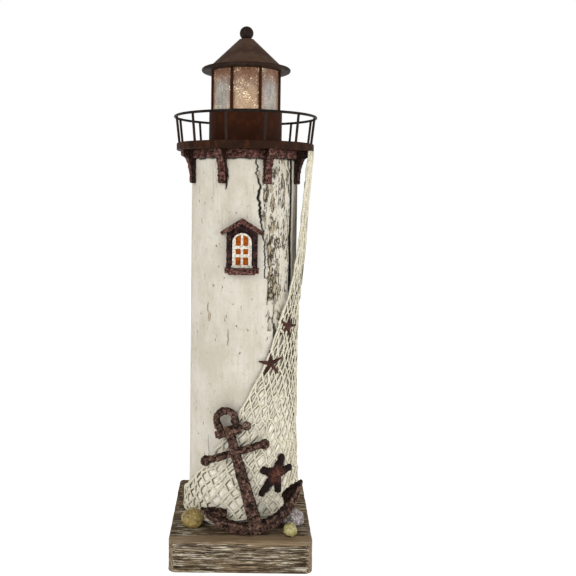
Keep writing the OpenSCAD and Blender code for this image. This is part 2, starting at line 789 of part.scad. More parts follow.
module starfish_middle() color("#6e4638")
  starfish(starfish_middle_r, 2.2, 1, 28.5, 24, base_h + 0.4379 * tower_h, -3.5, even_arms);

module starfish_small() color("#6e4638")
  starfish(starfish_small_r, 2.1, 0.9, 49, 42, base_h + 0.53 * tower_h, 18, even_arms);

// Stones: flat underneath, on the top of the base, with their middles this far from the post
module stone(azimuth, stand_off, w, depth_share, height_share, turn)
  intersection() {
    rotate([0, 0, azimuth]) translate([0, -tower_r - stand_off, base_h + w * height_share * 0.42])
      rotate([0, 0, turn - azimuth]) scale([1, depth_share, height_share])
        sphere(r = w / 2, $fn = 20);
    rotate([0, 0, azimuth]) translate([-w, -tower_r - stand_off - w, base_h]) cube([2 * w, 2 * w, w]);
  }

module stone_left() color("#8d8154")
  stone(-43.6, stone_left_w / 2 + 3.1, stone_left_w, 0.86, 0.85, 15);

module stone_right() color("#8d8384")
  stone(47.85, stone_right_w / 2 + 0.1, stone_right_w, 0.76, 0.7, -8);

module stone_small() color("#a29a6c")
  stone(36.2, stone_right_w + 0.6, stone_small_w, 0.92, 0.9, 0);

// Battery box: a tray that opens downwards, with a covered bay for the switch
module battery_box() color("#262626")
  difference() {
    union() {
      translate([box_x0, box_y - box_w / 2, box_recess])
        difference() {
          cube([box_l, box_w, box_h]);
          translate([box_wall, box_wall, -1])
            cube([bay_l, box_w - 2 * box_wall, box_h + 1 - box_wall]);
          translate([2 * box_wall + bay_l, box_wall, door_t])
            cube([switch_bay_l, box_w - 2 * box_wall, box_h - box_wall - door_t]);
          // Room for the end of the door under the partition
          translate([box_wall + bay_l - 1, box_wall, -1])
            cube([box_wall - 0.2 + 1, box_w - 2 * box_wall, 1 + door_t + seat_gap]);
        }
      for (s = [-1, 1])
        translate([s > 0 ? box_l / 2 : -box_l / 2 - ear_l, box_y - ear_w / 2, box_recess])
          cube([ear_l, ear_w, ear_t]);
      for (s = [-1, 1])
        translate([switch_x - 2, box_y + s * (switch_post_y + switch_post_l / 2) - switch_post_l / 2,
                   box_recess + door_t])
          cube([4, switch_post_l, switch_body_z - box_recess - door_t]);
    }
    for (s = [-1, 1]) {
      translate([s * ear_x, box_y, 0]) cylinder(h = 10, r = box_screw_r + fit_gap);
      // Blind holes for the door's hinge pins
      translate([hinge_x, box_y + s * (box_w / 2 - box_wall), hinge_z])
        rotate([-90 * s, 0, 0]) translate([0, 0, -0.5])
          cylinder(h = hinge_pin_l + seat_gap + 0.2, r = hinge_pin_r + run_gap);
    }
    // Slot for the switch knob
    translate([switch_x - knob_w / 2 - 0.4,
               box_y - (knob_l + switch_travel) / 2 - 0.4, box_recess - 1])
      cube([knob_w + 0.8, knob_l + switch_travel + 0.8, door_t + 2]);
    // Hole for the cable
    translate([switch_x, box_y + box_w / 2 - box_wall - 1, cable_z]) rotate([-90, 0, 0])
      cylinder(h = box_wall + 2, r = cable_r + fit_gap);
  }

door_w = box_w - 2 * box_wall - 2 * seat_gap;

module battery_door() color("#2c2c2c")
  difference() {
    union() {
      translate([hinge_x, box_y - door_w / 2, box_recess])
        cube([bay_x1 + box_wall - 0.5 - hinge_x, door_w, door_t]);
      translate([hinge_x, box_y - door_w / 2, hinge_z]) rotate([-90, 0, 0])
        cylinder(h = door_w, r = hinge_r);
      translate([hinge_x, box_y - door_w / 2 - hinge_pin_l, hinge_z]) rotate([-90, 0, 0])
        cylinder(h = door_w + 2 * hinge_pin_l, r = hinge_pin_r);
    }
    // Finger grooves near the free end
    for (k = [0 : 3])
      translate([bay_x1 - 4 - 2.2 * k, box_y - 6, box_recess - 1]) cube([1.1, 12, 1.5]);
  }

// One cell lies along x; the second one is turned round
module one_cell() {
  rotate([0, 90, 0]) {
    cylinder(h = cell_l - nub_l, r = cell_d / 2);
    translate([0, 0, cell_l - nub_l]) cylinder(h = nub_l, r = nub_r);
  }
}

module batteries() color("#b5b0a4") {
  y = cell_d / 2 + 0.4;
  translate([cell_x0, box_y - y, cell_z]) one_cell();
  translate([cell_x0 + cell_l, box_y + y, cell_z]) mirror([1, 0, 0]) one_cell();
}

module battery_contacts() color("#b8bcc0")
  for (s = [-1, 1]) {
    y = box_y + s * (cell_d / 2 + 0.4);
    translate([bay_x0, y - contact_w / 2, cell_z - contact_w / 2])
      cube([contact_t, contact_w, contact_w]);
    translate([bay_x0 + contact_t, y, cell_z]) rotate([0, 90, 0])
      cylinder(h = cell_x0 - bay_x0 - contact_t, r1 = spring_r, r2 = spring_end_r);
    translate([bay_x1 - contact_t, y - contact_w / 2, cell_z - contact_w / 2])
      cube([contact_t, contact_w, contact_w]);
    translate([cell_x0 + cell_l, y, cell_z]) rotate([0, 90, 0])
      cylinder(h = bay_x1 - contact_t - cell_x0 - cell_l, r = spring_end_r);
  }

module switch_body() color("#9a9da0")
  translate([switch_x - 4, box_y - switch_post_y - switch_post_l, switch_body_z])
    cube([8, 2 * (switch_post_y + switch_post_l), 4.5]);

module switch_knob() color("#d8d4cc")
  translate([switch_x, box_y - switch_travel / 2, 0]) {
    translate([-knob_w / 2, -knob_l / 2, box_recess - 0.9])
      cube([knob_w, knob_l, door_t + 0.9 + seat_gap + 0.4]);
    translate([-knob_w / 2 - 1, -flange_l / 2, box_recess + door_t + seat_gap])
      cube([knob_w + 2, flange_l, 1.2]);
  }

// Lamp
module led_cable() color("#e6e0d0") {
  inner = [switch_x, box_y + box_w / 2 - box_wall, cable_z];
  foot = [0, 0, cable_z];
  top = [0, 0, drum_top];
  bar_between(inner, cable_bend, cable_r);
  translate(cable_bend) sphere(r = 1.15 * cable_r);
  bar_between(cable_bend, foot, cable_r);
  translate(foot) sphere(r = 1.15 * cable_r);
  bar_between(foot, top, cable_r);
}

module led_holder() color("#e8e4da")
  translate([0, 0, drum_top]) {
    cylinder(h = 2.4, r = holder_r);
    translate([0, 0, 2]) cylinder(h = 8, r = holder_r - 2);
  }

module led_lamp() color("#ffd48a")
  translate([0, 0, drum_top + 10]) {
    cylinder(h = 6, r = lamp_r);
    translate([0, 0, 6]) sphere(r = lamp_r);
  }

// Screws
module tower_screws() color("#b0b4b8")
  for (s = [-1, 1])
    translate([s * post_screw_x, post_screw_y, post_screw_sink]) {
      cylinder(h = post_screw_l, r = post_screw_r);
      cylinder(h = post_screw_head_r - post_screw_r, r1 = post_screw_head_r, r2 = post_screw_r);
    }

module box_screws() color("#b0b4b8")
  for (s = [-1, 1])
    translate([s * ear_x, box_y, box_recess]) {
      cylinder(h = box_screw_l - box_recess, r = box_screw_r);
      translate([0, 0, -1]) cylinder(h = 1, r = 2 * box_screw_r);
    }

base_block();
tower_post();
tower_collar();
corbel(0);  // corbel_1
corbel(1);  // corbel_2
corbel(2);  // corbel_3
corbel(3);  // corbel_4
corbel(4);  // corbel_5
corbel(5);  // corbel_6
corbel(6);  // corbel_7
corbel(7);  // corbel_8
gallery_deck();
baluster(0);  // baluster_01
baluster(1);  // baluster_02
baluster(2);  // baluster_03
baluster(3);  // baluster_04
baluster(4);  // baluster_05
baluster(5);  // baluster_06
baluster(6);  // baluster_07
baluster(7);  // baluster_08
baluster(8);  // baluster_09
baluster(9);  // baluster_10
baluster(10);  // baluster_11
baluster(11);  // baluster_12
handrail();
lantern_drum();
lantern_glass();
lantern_bars();
roof_brim();
roof_cone();
finial();
window_casing();
window_hood();
window_sill();
window_sash();
window_panes();
anchor_body();
anchor_stock();
anchor_shackle();
anchor_pin();
starfish_large();
starfish_middle();
starfish_small();
stone_left();
stone_right();
stone_small();
fishing_net();
battery_box();
battery_door();
batteries();
battery_contacts();
switch_body();
switch_knob();
led_cable();
led_holder();
led_lamp();
tower_screws();
box_screws();
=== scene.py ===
"""Looks of the wooden lighthouse figurine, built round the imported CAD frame. Lengths in millimetres
are turned into metres by MM. Azimuth 0 is the front (-Y) and grows towards +X."""

import functools
import math
import bmesh
import bpy
import numpy as np
from mathutils import Euler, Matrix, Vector


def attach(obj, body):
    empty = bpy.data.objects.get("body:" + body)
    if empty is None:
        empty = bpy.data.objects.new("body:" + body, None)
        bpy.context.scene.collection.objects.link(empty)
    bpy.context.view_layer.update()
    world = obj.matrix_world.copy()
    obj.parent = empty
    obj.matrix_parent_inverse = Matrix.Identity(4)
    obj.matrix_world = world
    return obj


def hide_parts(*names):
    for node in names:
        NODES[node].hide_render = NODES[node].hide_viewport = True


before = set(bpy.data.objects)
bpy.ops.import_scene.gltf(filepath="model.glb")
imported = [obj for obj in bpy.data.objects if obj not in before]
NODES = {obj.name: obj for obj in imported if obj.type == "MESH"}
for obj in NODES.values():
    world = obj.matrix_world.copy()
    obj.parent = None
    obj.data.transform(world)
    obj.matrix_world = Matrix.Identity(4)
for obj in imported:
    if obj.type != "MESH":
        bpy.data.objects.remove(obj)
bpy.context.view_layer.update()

scene = bpy.context.scene
MM_IN_M = 1000.0
MM = 1 / MM_IN_M
BODY = "lighthouse"

# Sizes repeated from the CAD source, in millimetres
TOWER_R = 52.0
BASE_H = 28.6
TOWER_TOP = 380.3
BASE_FRONT_Y, BASE_BACK_Y = -74.0, 52.0
BASE_FRONT_W, BASE_BACK_W = 130.0, 132.0
BASE_CORNER_R = 7.0
BORE_R = 9.0


# Noise
def hashed(ix, iy, iz, seed):
    """A repeatable number from -1 to 1 for each lattice point."""
    h = (
        ix.astype(np.uint32) * np.uint32(374761393)
        + iy.astype(np.uint32) * np.uint32(668265263)
        + iz.astype(np.uint32) * np.uint32(2246822519)
        + np.uint32((seed * 3266489917 + 12345) & 0xFFFFFFFF)
    )
    h = (h ^ (h >> np.uint32(13))) * np.uint32(1274126177)
    h = (h ^ (h >> np.uint32(15))) * np.uint32(2246822519)
    h = h ^ (h >> np.uint32(16))
    return (h & np.uint32(0xFFFFFF)).astype(np.float64) / 0xFFFFFF * 2 - 1


def value_noise(p, seed):
    """Smooth noise at points p (n, 3), about -1 to 1."""
    i = np.floor(p).astype(np.int64)
    f = p - i
    f = f * f * f * (f * (f * 6 - 15) + 10)
    total = np.zeros(len(p))
    for dx in (0, 1):
        wx = f[:, 0] if dx else 1 - f[:, 0]
        for dy in (0, 1):
            wy = f[:, 1] if dy else 1 - f[:, 1]
            for dz in (0, 1):
                wz = f[:, 2] if dz else 1 - f[:, 2]
                total += wx * wy * wz * hashed(i[:, 0] + dx, i[:, 1] + dy, i[:, 2] + dz, seed)
    return total


def fbm(p, octaves, seed, gain=0.5):
    total, share, k = np.zeros(len(p)), 1.0, 1.0
    for n in range(octaves):
        total += share * value_noise(p * k + 17.3 * n, seed + n)
        share *= gain
        k *= 2.03
    return total


# Meshes
def points(*parts):
    """Points (n, 3) from x, y and z, where plain numbers stand for all the points."""
    return np.stack(np.broadcast_arrays(*parts), 1)


def round_points(az, r, z):
    """Points at azimuths in degrees, radii and heights round the tower's axis."""
    return points(np.sin(np.radians(az)) * r, -np.cos(np.radians(az)) * r, z)


def add_object(name, data):
    o = bpy.data.objects.new(name, data)
    scene.collection.objects.link(o)
    return o


def make_mesh(name, verts_mm, faces, material):
    """A smooth mesh object from points in millimetres."""
    mesh = bpy.data.meshes.new(name)
    mesh.from_pydata([tuple(v) for v in np.asarray(verts_mm, float) * MM], [], faces)
    mesh.validate()
    mesh.polygons.foreach_set("use_smooth", [True] * len(mesh.polygons))
    mesh.update()
    o = add_object(name, mesh)
    o.data.materials.append(material)
    return o


def put_attribute(o, name, values):
    a = o.data.attributes.new(name, "FLOAT", "POINT")
    a.data.foreach_set("value", np.asarray(values, np.float32))


def grid_faces(rows, cols, close=False):
    """Quads over rows of points; close joins each row's end to its start."""
    faces = []
    for j in range(rows - 1):
        for i in range(cols if close else cols - 1):
            k = (i + 1) % cols
            faces.append((j * cols + i, j * cols + k, (j + 1) * cols + k, (j + 1) * cols + i))
    return faces


def tube(line, radius, sides, taper):
    """Points and faces of a tube along a line of points."""
    p = np.asarray(line, float)
    n = len(p)
    t = np.gradient(p, axis=0)
    t /= np.maximum(np.linalg.norm(t, axis=1), 1e-9)[:, None]
    up = np.array([0.0, 0.0, 1.0])
    if abs(t[0] @ up) > 0.9:
        up = np.array([1.0, 0.0, 0.0])
    verts = []
    side = np.cross(t[0], up)
    side /= np.linalg.norm(side)
    for k in range(n):
        side = side - t[k] * (side @ t[k])
        side /= max(np.linalg.norm(side), 1e-9)
        other = np.cross(t[k], side)
        r = radius if taper is None else radius * taper[k]
        for s in range(sides):
            a = 2 * math.pi * s / sides
            verts.append(p[k] + r * (math.cos(a) * side + math.sin(a) * other))
    faces = grid_faces(n, sides, close=True)
    faces.append(tuple(range(sides))[::-1])
    faces.append(tuple((n - 1) * sides + s for s in range(sides)))
    return verts, faces


def add_part(verts, faces, more):
    """Adds a part's points and faces, more, to the lists verts and faces."""
    start = len(verts)
    verts.extend(more[0])
    faces.extend([tuple(v + start for v in f) for f in more[1]])


# Material helpers
def tint(value):
    """Turns three sRGB numbers from 0 to 255 into a linear color; anything else stays as it is."""
    if not isinstance(value, tuple) or len(value) != 3:
        return value
    parts = [v / 255.0 for v in value]
    return (*(v / 12.92 if v <= 0.04045 else ((v + 0.055) / 1.055) ** 2.4 for v in parts), 1.0)


def darker(color, share):
    """A color of three sRGB numbers, made darker, as a linear color."""
    return (*(c * share for c in tint(color)[:3]), 1.0)


def put(socket, value):
    """Sets an input's value, or links it where value is another node's output."""
    if hasattr(value, "is_output"):
        socket.id_data.links.new(value, socket)
    else:
        socket.default_value = value


def add_node(tree, kind, *places, operation=None, **names):
    """A node whose inputs are put in by place and by name."""
    n = tree.nodes.new("ShaderNode" + kind)
    if operation:
        n.operation = operation
    for key, value in (*enumerate(places), *names.items()):
        put(n.inputs[key], value)
    return n


class Shader:
    """A small builder of shader nodes."""

    def __init__(self, name, roughness=0.6, metallic=0.0, specular=0.5):
        self.material = bpy.data.materials.new(name)
        self.material.use_nodes = True
        self.tree = self.material.node_tree
        self.tree.nodes.clear()
        self.bsdf = self.node("BsdfPrincipled", Roughness=roughness, Metallic=metallic)
        put(self.bsdf.inputs["Specular IOR Level"], specular)
        self.out = self.node("OutputMaterial", self.bsdf.outputs["BSDF"])
        self.coord = self.node("TexCoord").outputs["Object"]

    def node(self, kind, *places, **names):
        return add_node(self.tree, kind, *places, **names)

    def grid(self, size_mm, stretch=(1, 1, 1), move=(0, 0, 0), at=None):
        """Object coordinates, or at, in units of size_mm times stretch."""
        scale = tuple(MM_IN_M / size_mm / k for k in stretch)
        at = self.coord if at is None else at
        return self.node("Mapping", Vector=at, Scale=scale, Location=move).outputs[0]

    def noise(self, size_mm, detail, rough, stretch=(1, 1, 1), move=(0, 0, 0), warp=0.0, out="Fac"):
        """Noise with features about size_mm wide; stretch makes them longer along an axis."""
        at = self.grid(size_mm, stretch, move)
        n = self.node("TexNoise", Vector=at, Scale=1.0, Detail=detail, Roughness=rough, Distortion=warp)
        return n.outputs[out]

    def cells(self, at, feature="F1", out="Distance"):
        """Voronoi cells one unit of at wide."""
        n = self.node("TexVoronoi", Vector=at, Scale=1.0)
        n.feature = feature
        return n.outputs[out]

    def first(self, color):
        """The first channel of a color."""
        return self.node("SeparateXYZ", color).outputs[0]

    def vector(self, kind, *values, out="Vector"):
        return self.node("VectorMath", *values, operation=kind).outputs[out]

    def flakes(self, size_mm, stretch, wobble_mm):
        """Ragged cells: the distance to their edges, as a share of their width, and a tone for each."""
        wobble = self.noise(size_mm, 3, 0.5, move=(3, 9, 4), out="Color")
        bent = self.vector("MULTIPLY_ADD", wobble, (wobble_mm * MM,) * 3, self.coord)
        at = self.grid(size_mm, stretch, at=bent)
        return self.cells(at, "DISTANCE_TO_EDGE"), self.first(self.cells(at, out="Color"))

    def attribute(self, name):
        n = self.node("Attribute")
        n.attribute_name = name
        return n.outputs["Fac"]

    def math(self, kind, a, b=0.0):
        return self.node("Math", a, b, operation=kind).outputs[0]

    def times(self, a, b):
        return self.math("MULTIPLY", a, b)

    def plus(self, a, b):
        return self.math("ADD", a, b)

    def minus(self, a, b):
        return self.math("SUBTRACT", a, b)

    def ramp(self, value, low, high):
        """0 at low and below, 1 at high and above, smooth in between."""
        n = self.node("MapRange", value, low, high)
        n.interpolation_type = "SMOOTHSTEP"
        return n.outputs["Result"]

    def mix(self, share, a, b):
        n = self.node("Mix")
        n.data_type = "RGBA"
        for place, value in ((0, share), (6, tint(a)), (7, tint(b))):
            put(n.inputs[place], value)
        return n.outputs[2]

    def over(self, under, upper, field, low, high, share=None):
        """under, with upper laid over it where field runs from low to high, at most by share."""
        amount = self.ramp(field, low, high)
        if share is not None:
            amount = self.times(amount, share)
        return self.mix(amount, under, upper)

    def axis(self, which):
        """The place along an axis of the object, in millimetres."""
        return self.times(self.node("SeparateXYZ", self.coord).outputs[which], MM_IN_M)

    def pointiness(self):
        return self.node("NewGeometry").outputs["Pointiness"]

    def facing(self):
        """How far the surface faces away from the tower's axis or upwards: 1 where it faces
        straight out, less towards the sides, and below 0 towards the axis."""
        geometry = self.node("NewGeometry")
        flat = self.vector("MULTIPLY", geometry.outputs["Position"], (1, 1, 0))
        outwards = self.vector("NORMALIZE", flat)
        along = self.vector("DOT_PRODUCT", geometry.outputs["Normal"], outwards, out="Value")
        up = self.vector("DOT_PRODUCT", geometry.outputs["Normal"], (0, 0, 1), out="Value")
        return self.plus(along, self.times(self.math("MAXIMUM", up, 0.0), 0.5))

    def bump(self, height, strength, distance_mm):
        n = self.node("Bump", Strength=strength, Distance=distance_mm * MM, Height=height)
        put(self.bsdf.inputs["Normal"], n.outputs["Normal"])

    def color(self, value):
        put(self.bsdf.inputs["Base Color"], value)

    def rough(self, value):
        put(self.bsdf.inputs["Roughness"], value)

    def glow(self, color, strength):
        put(self.bsdf.inputs["Emission Color"], color)
        put(self.bsdf.inputs["Emission Strength"], strength)

    def finish(self, color, height, strength, distance_mm):
        """Sets the color and the bumps, and returns the material."""
        self.color(color)
        self.bump(height, strength, distance_mm)
        return self.material


# Materials
def painted_tower():
    """Cream paint with specks and stains, peeling in upright slivers and chips where wear is high, cracks
    where dark is set (with painted shadow under the collar and a painted dark line down the left edge),
    and painted shadow beside the net's cords and behind its gathered part."""
    s = Shader("cream_peeling_paint", roughness=0.78, specular=0.2)
    wear, mark, dark, painted_net_shade = (s.attribute(n) for n in ("wear", "mark", "dark", "painted_net_shade"))
    cloud = s.noise(26, 4, 0.6, (1, 1, 1.6))
    paint = s.over((201, 193, 176), (217, 211, 198), cloud, 0.34, 0.66)
    mottle = s.noise(3.4, 5, 0.7, (1, 1, 1.3), move=(4, 2, 8))
    paint = s.over(paint, (182, 174, 154), mottle, 0.5, 0.68, 0.4)
    streak = s.noise(0.9, 3, 0.65, (1, 1, 26), move=(5, 2, 1))
    paint = s.over(paint, (168, 158, 134), streak, 0.54, 0.7, 0.3)
    speck = s.noise(1.1, 3, 0.7, (1, 1, 1.5), move=(8, 3, 1))
    paint = s.over(paint, (128, 112, 86), speck, 0.67, 0.73, 0.5)
    # Flakes: some have gone and left bare wood, and their outlines are dark in places
    flake_edge, flake_tone = s.flakes(3.1, (1, 1, 3.6), 2.6)
    worn_tone = s.plus(s.times(flake_tone, 0.6), s.times(wear, 0.3))
    gone = s.ramp(worn_tone, 0.77, 0.785)
    group = s.noise(6, 3, 0.6, (1, 1, 2.4), move=(1, 4, 2))
    outlined = s.ramp(s.plus(group, s.times(wear, 0.22)), 0.72, 0.77)
    outline = s.times(s.ramp(flake_edge, 0.16, 0.07), outlined)
    # Slivers: short, narrow and dark, closer together where the wear is high
    sliver = s.noise(1.25, 4, 0.62, (1, 1, 5.5), move=(2, 7, 1), warp=0.25)
    amount = s.plus(s.times(wear, 0.16), s.times(group, 0.22))
    amount = s.plus(s.plus(sliver, amount), -0.175)
    cut = s.ramp(amount, 0.69, 0.7)
    # Chips: bare wood with a dark rim
    chip = s.noise(3.6, 4, 0.6, (1, 1, 2.6), move=(9, 4, 2), warp=0.4)
    chip_field = s.plus(s.plus(chip, s.times(wear, 0.08)), mark)
    bare = s.math("MAXIMUM", s.ramp(chip_field, 0.72, 0.735), gone)
    rim = s.times(s.ramp(chip_field, 0.695, 0.71), s.minus(1.0, s.ramp(chip_field, 0.74, 0.76)))
    rim = s.math("MAXIMUM", rim, s.times(gone, s.ramp(flake_edge, 0.12, 0.05)))
    fine_grain = s.noise(0.7, 3, 0.6, (1, 1, 12), move=(3, 1, 2))
    wood = s.over((138, 124, 100), (198, 186, 162), fine_grain, 0.35, 0.65)
    darkening = s.times(s.ramp(wear, 0.35, 0.9), s.ramp(group, 0.48, 0.62))
    col = s.mix(s.times(darkening, 0.3), paint, (190, 178, 148))
    col = s.mix(bare, col, wood)
    col = s.mix(s.times(rim, 0.85), col, (46, 36, 26))
    col = s.mix(s.times(outline, 0.85), col, (58, 47, 33))
    col = s.mix(s.times(cut, 0.95), col, (44, 34, 24))
    # Painted shadow beside the net's cords, and painted shade behind the gathered net
    col = s.mix(painted_net_shade, col, (66, 56, 34))
    # Cracks, seams and dents, with the painted shadow under the collar and the painted dark left edge
    col = s.mix(dark, col, (16, 12, 10))
    height = s.minus(s.times(mottle, 0.35), s.plus(bare, s.math("MAXIMUM", cut, outline)))
    return s.finish(col, s.minus(height, s.times(dark, 1.2)), 0.6, 0.5)


def weathered_board():
    s = Shader("weathered_board", roughness=0.82, specular=0.12)
    groove, end, smooth = s.attribute("groove"), s.attribute("end_grain"), s.attribute("smooth_edge")
    thin = s.noise(0.5, 3, 0.6, (40, 1, 1))
    lines = s.noise(0.72, 4, 0.66, (30, 1, 1), move=(2, 5, 3))
    wide = s.noise(2.6, 4, 0.6, (14, 1, 1), move=(7, 5, 1))
    tone = s.noise(17, 4, 0.6, (2.4, 1, 1), move=(4, 1, 6))
    col = s.over((108, 88, 66), (156, 136, 107), wide, 0.36, 0.64)
    col = s.over(col, (126, 116, 92), tone, 0.42, 0.66, 0.55)
    line_share = s.times(s.ramp(lines, 0.49, 0.46), s.minus(0.95, s.times(smooth, 0.7)))
    col = s.mix(line_share, col, (50, 38, 27))
    thin_share = s.times(s.ramp(thin, 0.47, 0.38), s.minus(0.8, s.times(smooth, 0.6)))
    col = s.mix(thin_share, col, (48, 36, 26))
    # Painted highlight: whitish streaks on the crests of the grain lines
    white = s.times(s.ramp(lines, 0.56, 0.59), s.ramp(tone, 0.4, 0.56))
    col = s.mix(s.times(white, s.minus(0.85, s.times(smooth, 0.6))), col, (230, 222, 204))
    col = s.mix(s.times(smooth, 0.5), col, (150, 126, 96))
    rings = s.noise(1.9, 4, 0.6, (1, 1, 1), move=(1, 1, 1))
    end_col = s.over((84, 67, 50), (150, 130, 103), rings, 0.4, 0.6)
    col = s.mix(end, col, end_col)
    # Painted shade: darkest in the carved grooves
    col = s.over(col, (36, 27, 20), groove, 0.5, 1.05)
    height = s.plus(s.times(lines, 0.8), s.times(thin, 0.6))
    return s.finish(col, s.plus(height, s.times(rings, 0.2)), 0.75, 0.6)


def rust(name, base, light, deep, pit_mm, light_share, glint_share, patch_mm=3.2, streak=0.0, dark_z=None):
    """Pitted red-brown finish with lighter rubbed high spots, sides and backs darkened as painted shade,
    light flecks painted on as glints and, with streak, a painted highlight on the ridge facing
    outwards; dark_z is the pair of heights in millimetres between which it darkens downwards."""
    s = Shader(name, roughness=0.6, specular=0.1)
    broad = s.noise(1.6 * patch_mm, 5, 0.65)
    grit = s.noise(1.0, 4, 0.7, move=(3, 1, 2))
    pits = s.noise(pit_mm, 4, 0.6, move=(7, 2, 5))
    patch = s.noise(patch_mm, 4, 0.65, move=(1, 6, 2))
    col = s.over(base, deep, broad, 0.43, 0.56)
    col = s.over(col, light, patch, 0.51, 0.57, light_share)
    # Painted highlight along the ridge that faces outwards
    if streak:
        col = s.over(col, light, s.facing(), 0.9, 1.0, streak)
    col = s.over(col, light, grit, 0.5, 0.62, s.times(light_share, 0.5))
    col = s.over(col, light, s.pointiness(), 0.51, 0.58, 0.4)
    # Painted shade: sides and backs, turned away from the tower's axis, darker than the front faces
    col = s.over(col, (26, 12, 9), s.facing(), 0.86, 0.4, 0.85)
    # Pale flecks that stand in for glints: painted highlights
    fleck = s.noise(0.8, 3, 0.7, move=(5, 5, 1))
    col = s.over(col, (205, 190, 180), fleck, 0.66, 0.72, glint_share)
    pit = s.ramp(pits, 0.46, 0.4)
    col = s.mix(s.times(pit, 0.95), col, (20, 9, 6))
    col = s.over(col, (16, 8, 6), s.pointiness(), 0.492, 0.43, 0.85)
    if dark_z:
        col = s.over(col, (18, 9, 7), s.axis(2), dark_z[1], dark_z[0], 0.85)
    s.rough(s.plus(0.42, s.times(grit, 0.35)))
    return s.finish(col, s.minus(s.times(grit, 0.7), pit), 0.85, 0.55)


def brown_metal(name, base, second, worn, rough=0.5, rub_share=0.6):
    """Brown patina with a fine grain and a few worn, redder places."""
    s = Shader(name, roughness=rough, specular=0.05)
    cloud = s.noise(16, 5, 0.6)
    grain = s.noise(0.8, 3, 0.65, move=(2, 2, 2))
    rub = s.noise(7, 5, 0.65, (1, 1, 1.8), move=(6, 1, 3))
    col = s.over(base, second, cloud, 0.38, 0.62)
    col = s.over(col, worn, rub, 0.5, 0.68, rub_share)
    col = s.over(col, worn, grain, 0.55, 0.72, 0.3)
    col = s.over(col, worn, s.pointiness(), 0.505, 0.56, 0.3)
    s.rough(s.plus(s.times(cloud, 0.25), rough - 0.12))
    return s.finish(col, s.plus(grain, s.times(cloud, 0.5)), 0.4, 0.25)


def painted_lit_glass():
    """Crackled glass over a warm lamp, with the lamp's light painted on: it glows of itself, tan and grey
    panes by turns stand for glow and reflection, it is browner towards the bars and under the roof and
    lighter at the foot, all painted light and shade, with fine bright sparkles in drifts as painted
    glints."""
    s = Shader("crackled_lit_glass", roughness=0.28, specular=0.5)
    x, y, z = s.axis(0), s.axis(1), s.axis(2)
    glint = s.first(s.cells(s.grid(0.62), out="Color"))
    cell_edge = s.cells(s.grid(1.1), "DISTANCE_TO_EDGE")
    cloud = s.noise(8, 4, 0.6)
    drift = s.noise(11, 4, 0.65, move=(3, 8, 1.4))
    runs = s.noise(3, 3, 0.6, (1, 1, 6), move=(2, 2, 5))
    side = s.ramp(s.math("MINIMUM", s.math("ABSOLUTE", x), s.math("ABSOLUTE", y)), 13.0, 20.0)
    turn = s.math("ABSOLUTE", s.math("ARCTAN2", x, s.times(y, -1.0)))
    to_bar = s.math("PINGPONG", turn, math.radians(22.5))
    col = s.over((138, 110, 90), (176, 145, 118), cloud, 0.36, 0.64)
    # Painted lamp glow: paler towards the foot
    col = s.over(col, (214, 178, 138), z, 446.0, 421.0, 0.7)
    # Painted reflection: the panes towards the diagonals are grey, the others show the tan glow
    grey = s.over((142, 142, 139), (172, 170, 164), runs, 0.4, 0.6)
    col = s.mix(s.times(side, 0.9), col, grey)
    # Painted rim: browner towards the bars, as the lit glass looks at its edges
    col = s.over(col, (128, 76, 36), to_bar, math.radians(14), math.radians(21.5), 0.75)
    # Painted shade: browner under the roof
    col = s.over(col, (116, 66, 28), z, 438.0, 453.0, 0.9)
    # Painted glints: fine sparkles, gathered in drifts and fainter on the grey panes
    painted_sparkle = s.times(s.ramp(glint, 0.72, 0.9), s.plus(0.12, s.times(s.ramp(drift, 0.44, 0.62), 0.9)))
    painted_sparkle = s.times(painted_sparkle, s.minus(1.0, s.times(side, 0.45)))
    col = s.over(col, (92, 66, 48), glint, 0.3, 0.1, 0.35)
    col = s.mix(painted_sparkle, col, (255, 236, 196))
    # Painted glow: the glass gives off light of its own, stronger at the sparkles
    s.glow(col, s.plus(0.46, s.times(painted_sparkle, 0.5)))
    return s.finish(s.mix(0.6, col, (50, 40, 34)), s.plus(glint, s.times(cell_edge, 1.5)), 0.5, 0.3)


def cord_material():
    """Ivory cord; the attribute shade is 1 on the side that lies against the post."""
    s = Shader("cotton_cord", roughness=0.85, specular=0.15)
    shade = s.attribute("shade")
    ply = s.noise(0.9, 3, 0.65)
    dirt = s.noise(10, 4, 0.65, move=(4, 4, 4))
    col = s.over((196, 187, 158), (236, 230, 212), ply, 0.35, 0.6)
    col = s.over(col, (200, 188, 152), dirt, 0.52, 0.7, 0.3)
    col = s.over(col, (84, 74, 46), s.plus(shade, s.times(ply, 0.3)), 0.56, 0.92)
    return s.finish(col, ply, 0.6, 0.3)


def backing_material():
    """The pale ground between the net's cords near its foot: paler than the post's paint, as painted
    light that offsets the cords' shade, and darker beside the cords, as their painted shadow.
    """
    s = Shader("net_backing", roughness=0.85, specular=0.1)
    n = s.noise(4, 5, 0.65)
    speck = s.noise(1.3, 3, 0.7, move=(8, 3, 1))
    col = s.over((226, 218, 198), (246, 241, 228), n, 0.38, 0.62)
    col = s.over(col, (150, 138, 104), speck, 0.62, 0.7, 0.5)
    return s.finish(s.mix(s.attribute("painted_net_shade"), col, (66, 60, 40)), n, 0.4, 0.4)


def stone_material(name, one, two, spot, fleck, spot_share=0.7):
    s = Shader(name, roughness=0.42, specular=0.45)
    cloud = s.noise(5, 5, 0.65)
    fine = s.noise(0.9, 4, 0.65, move=(2, 3, 4))
    veins = s.noise(3.2, 6, 0.72, move=(9, 3, 4), warp=1.2)
    col = s.over(one, two, cloud, 0.38, 0.62)
    col = s.over(col, spot, veins, 0.52, 0.62, spot_share)
    col = s.over(col, fleck, fine, 0.56, 0.7, 0.5)
    return s.finish(col, s.plus(s.times(fine, 0.6), cloud), 0.5, 0.5)


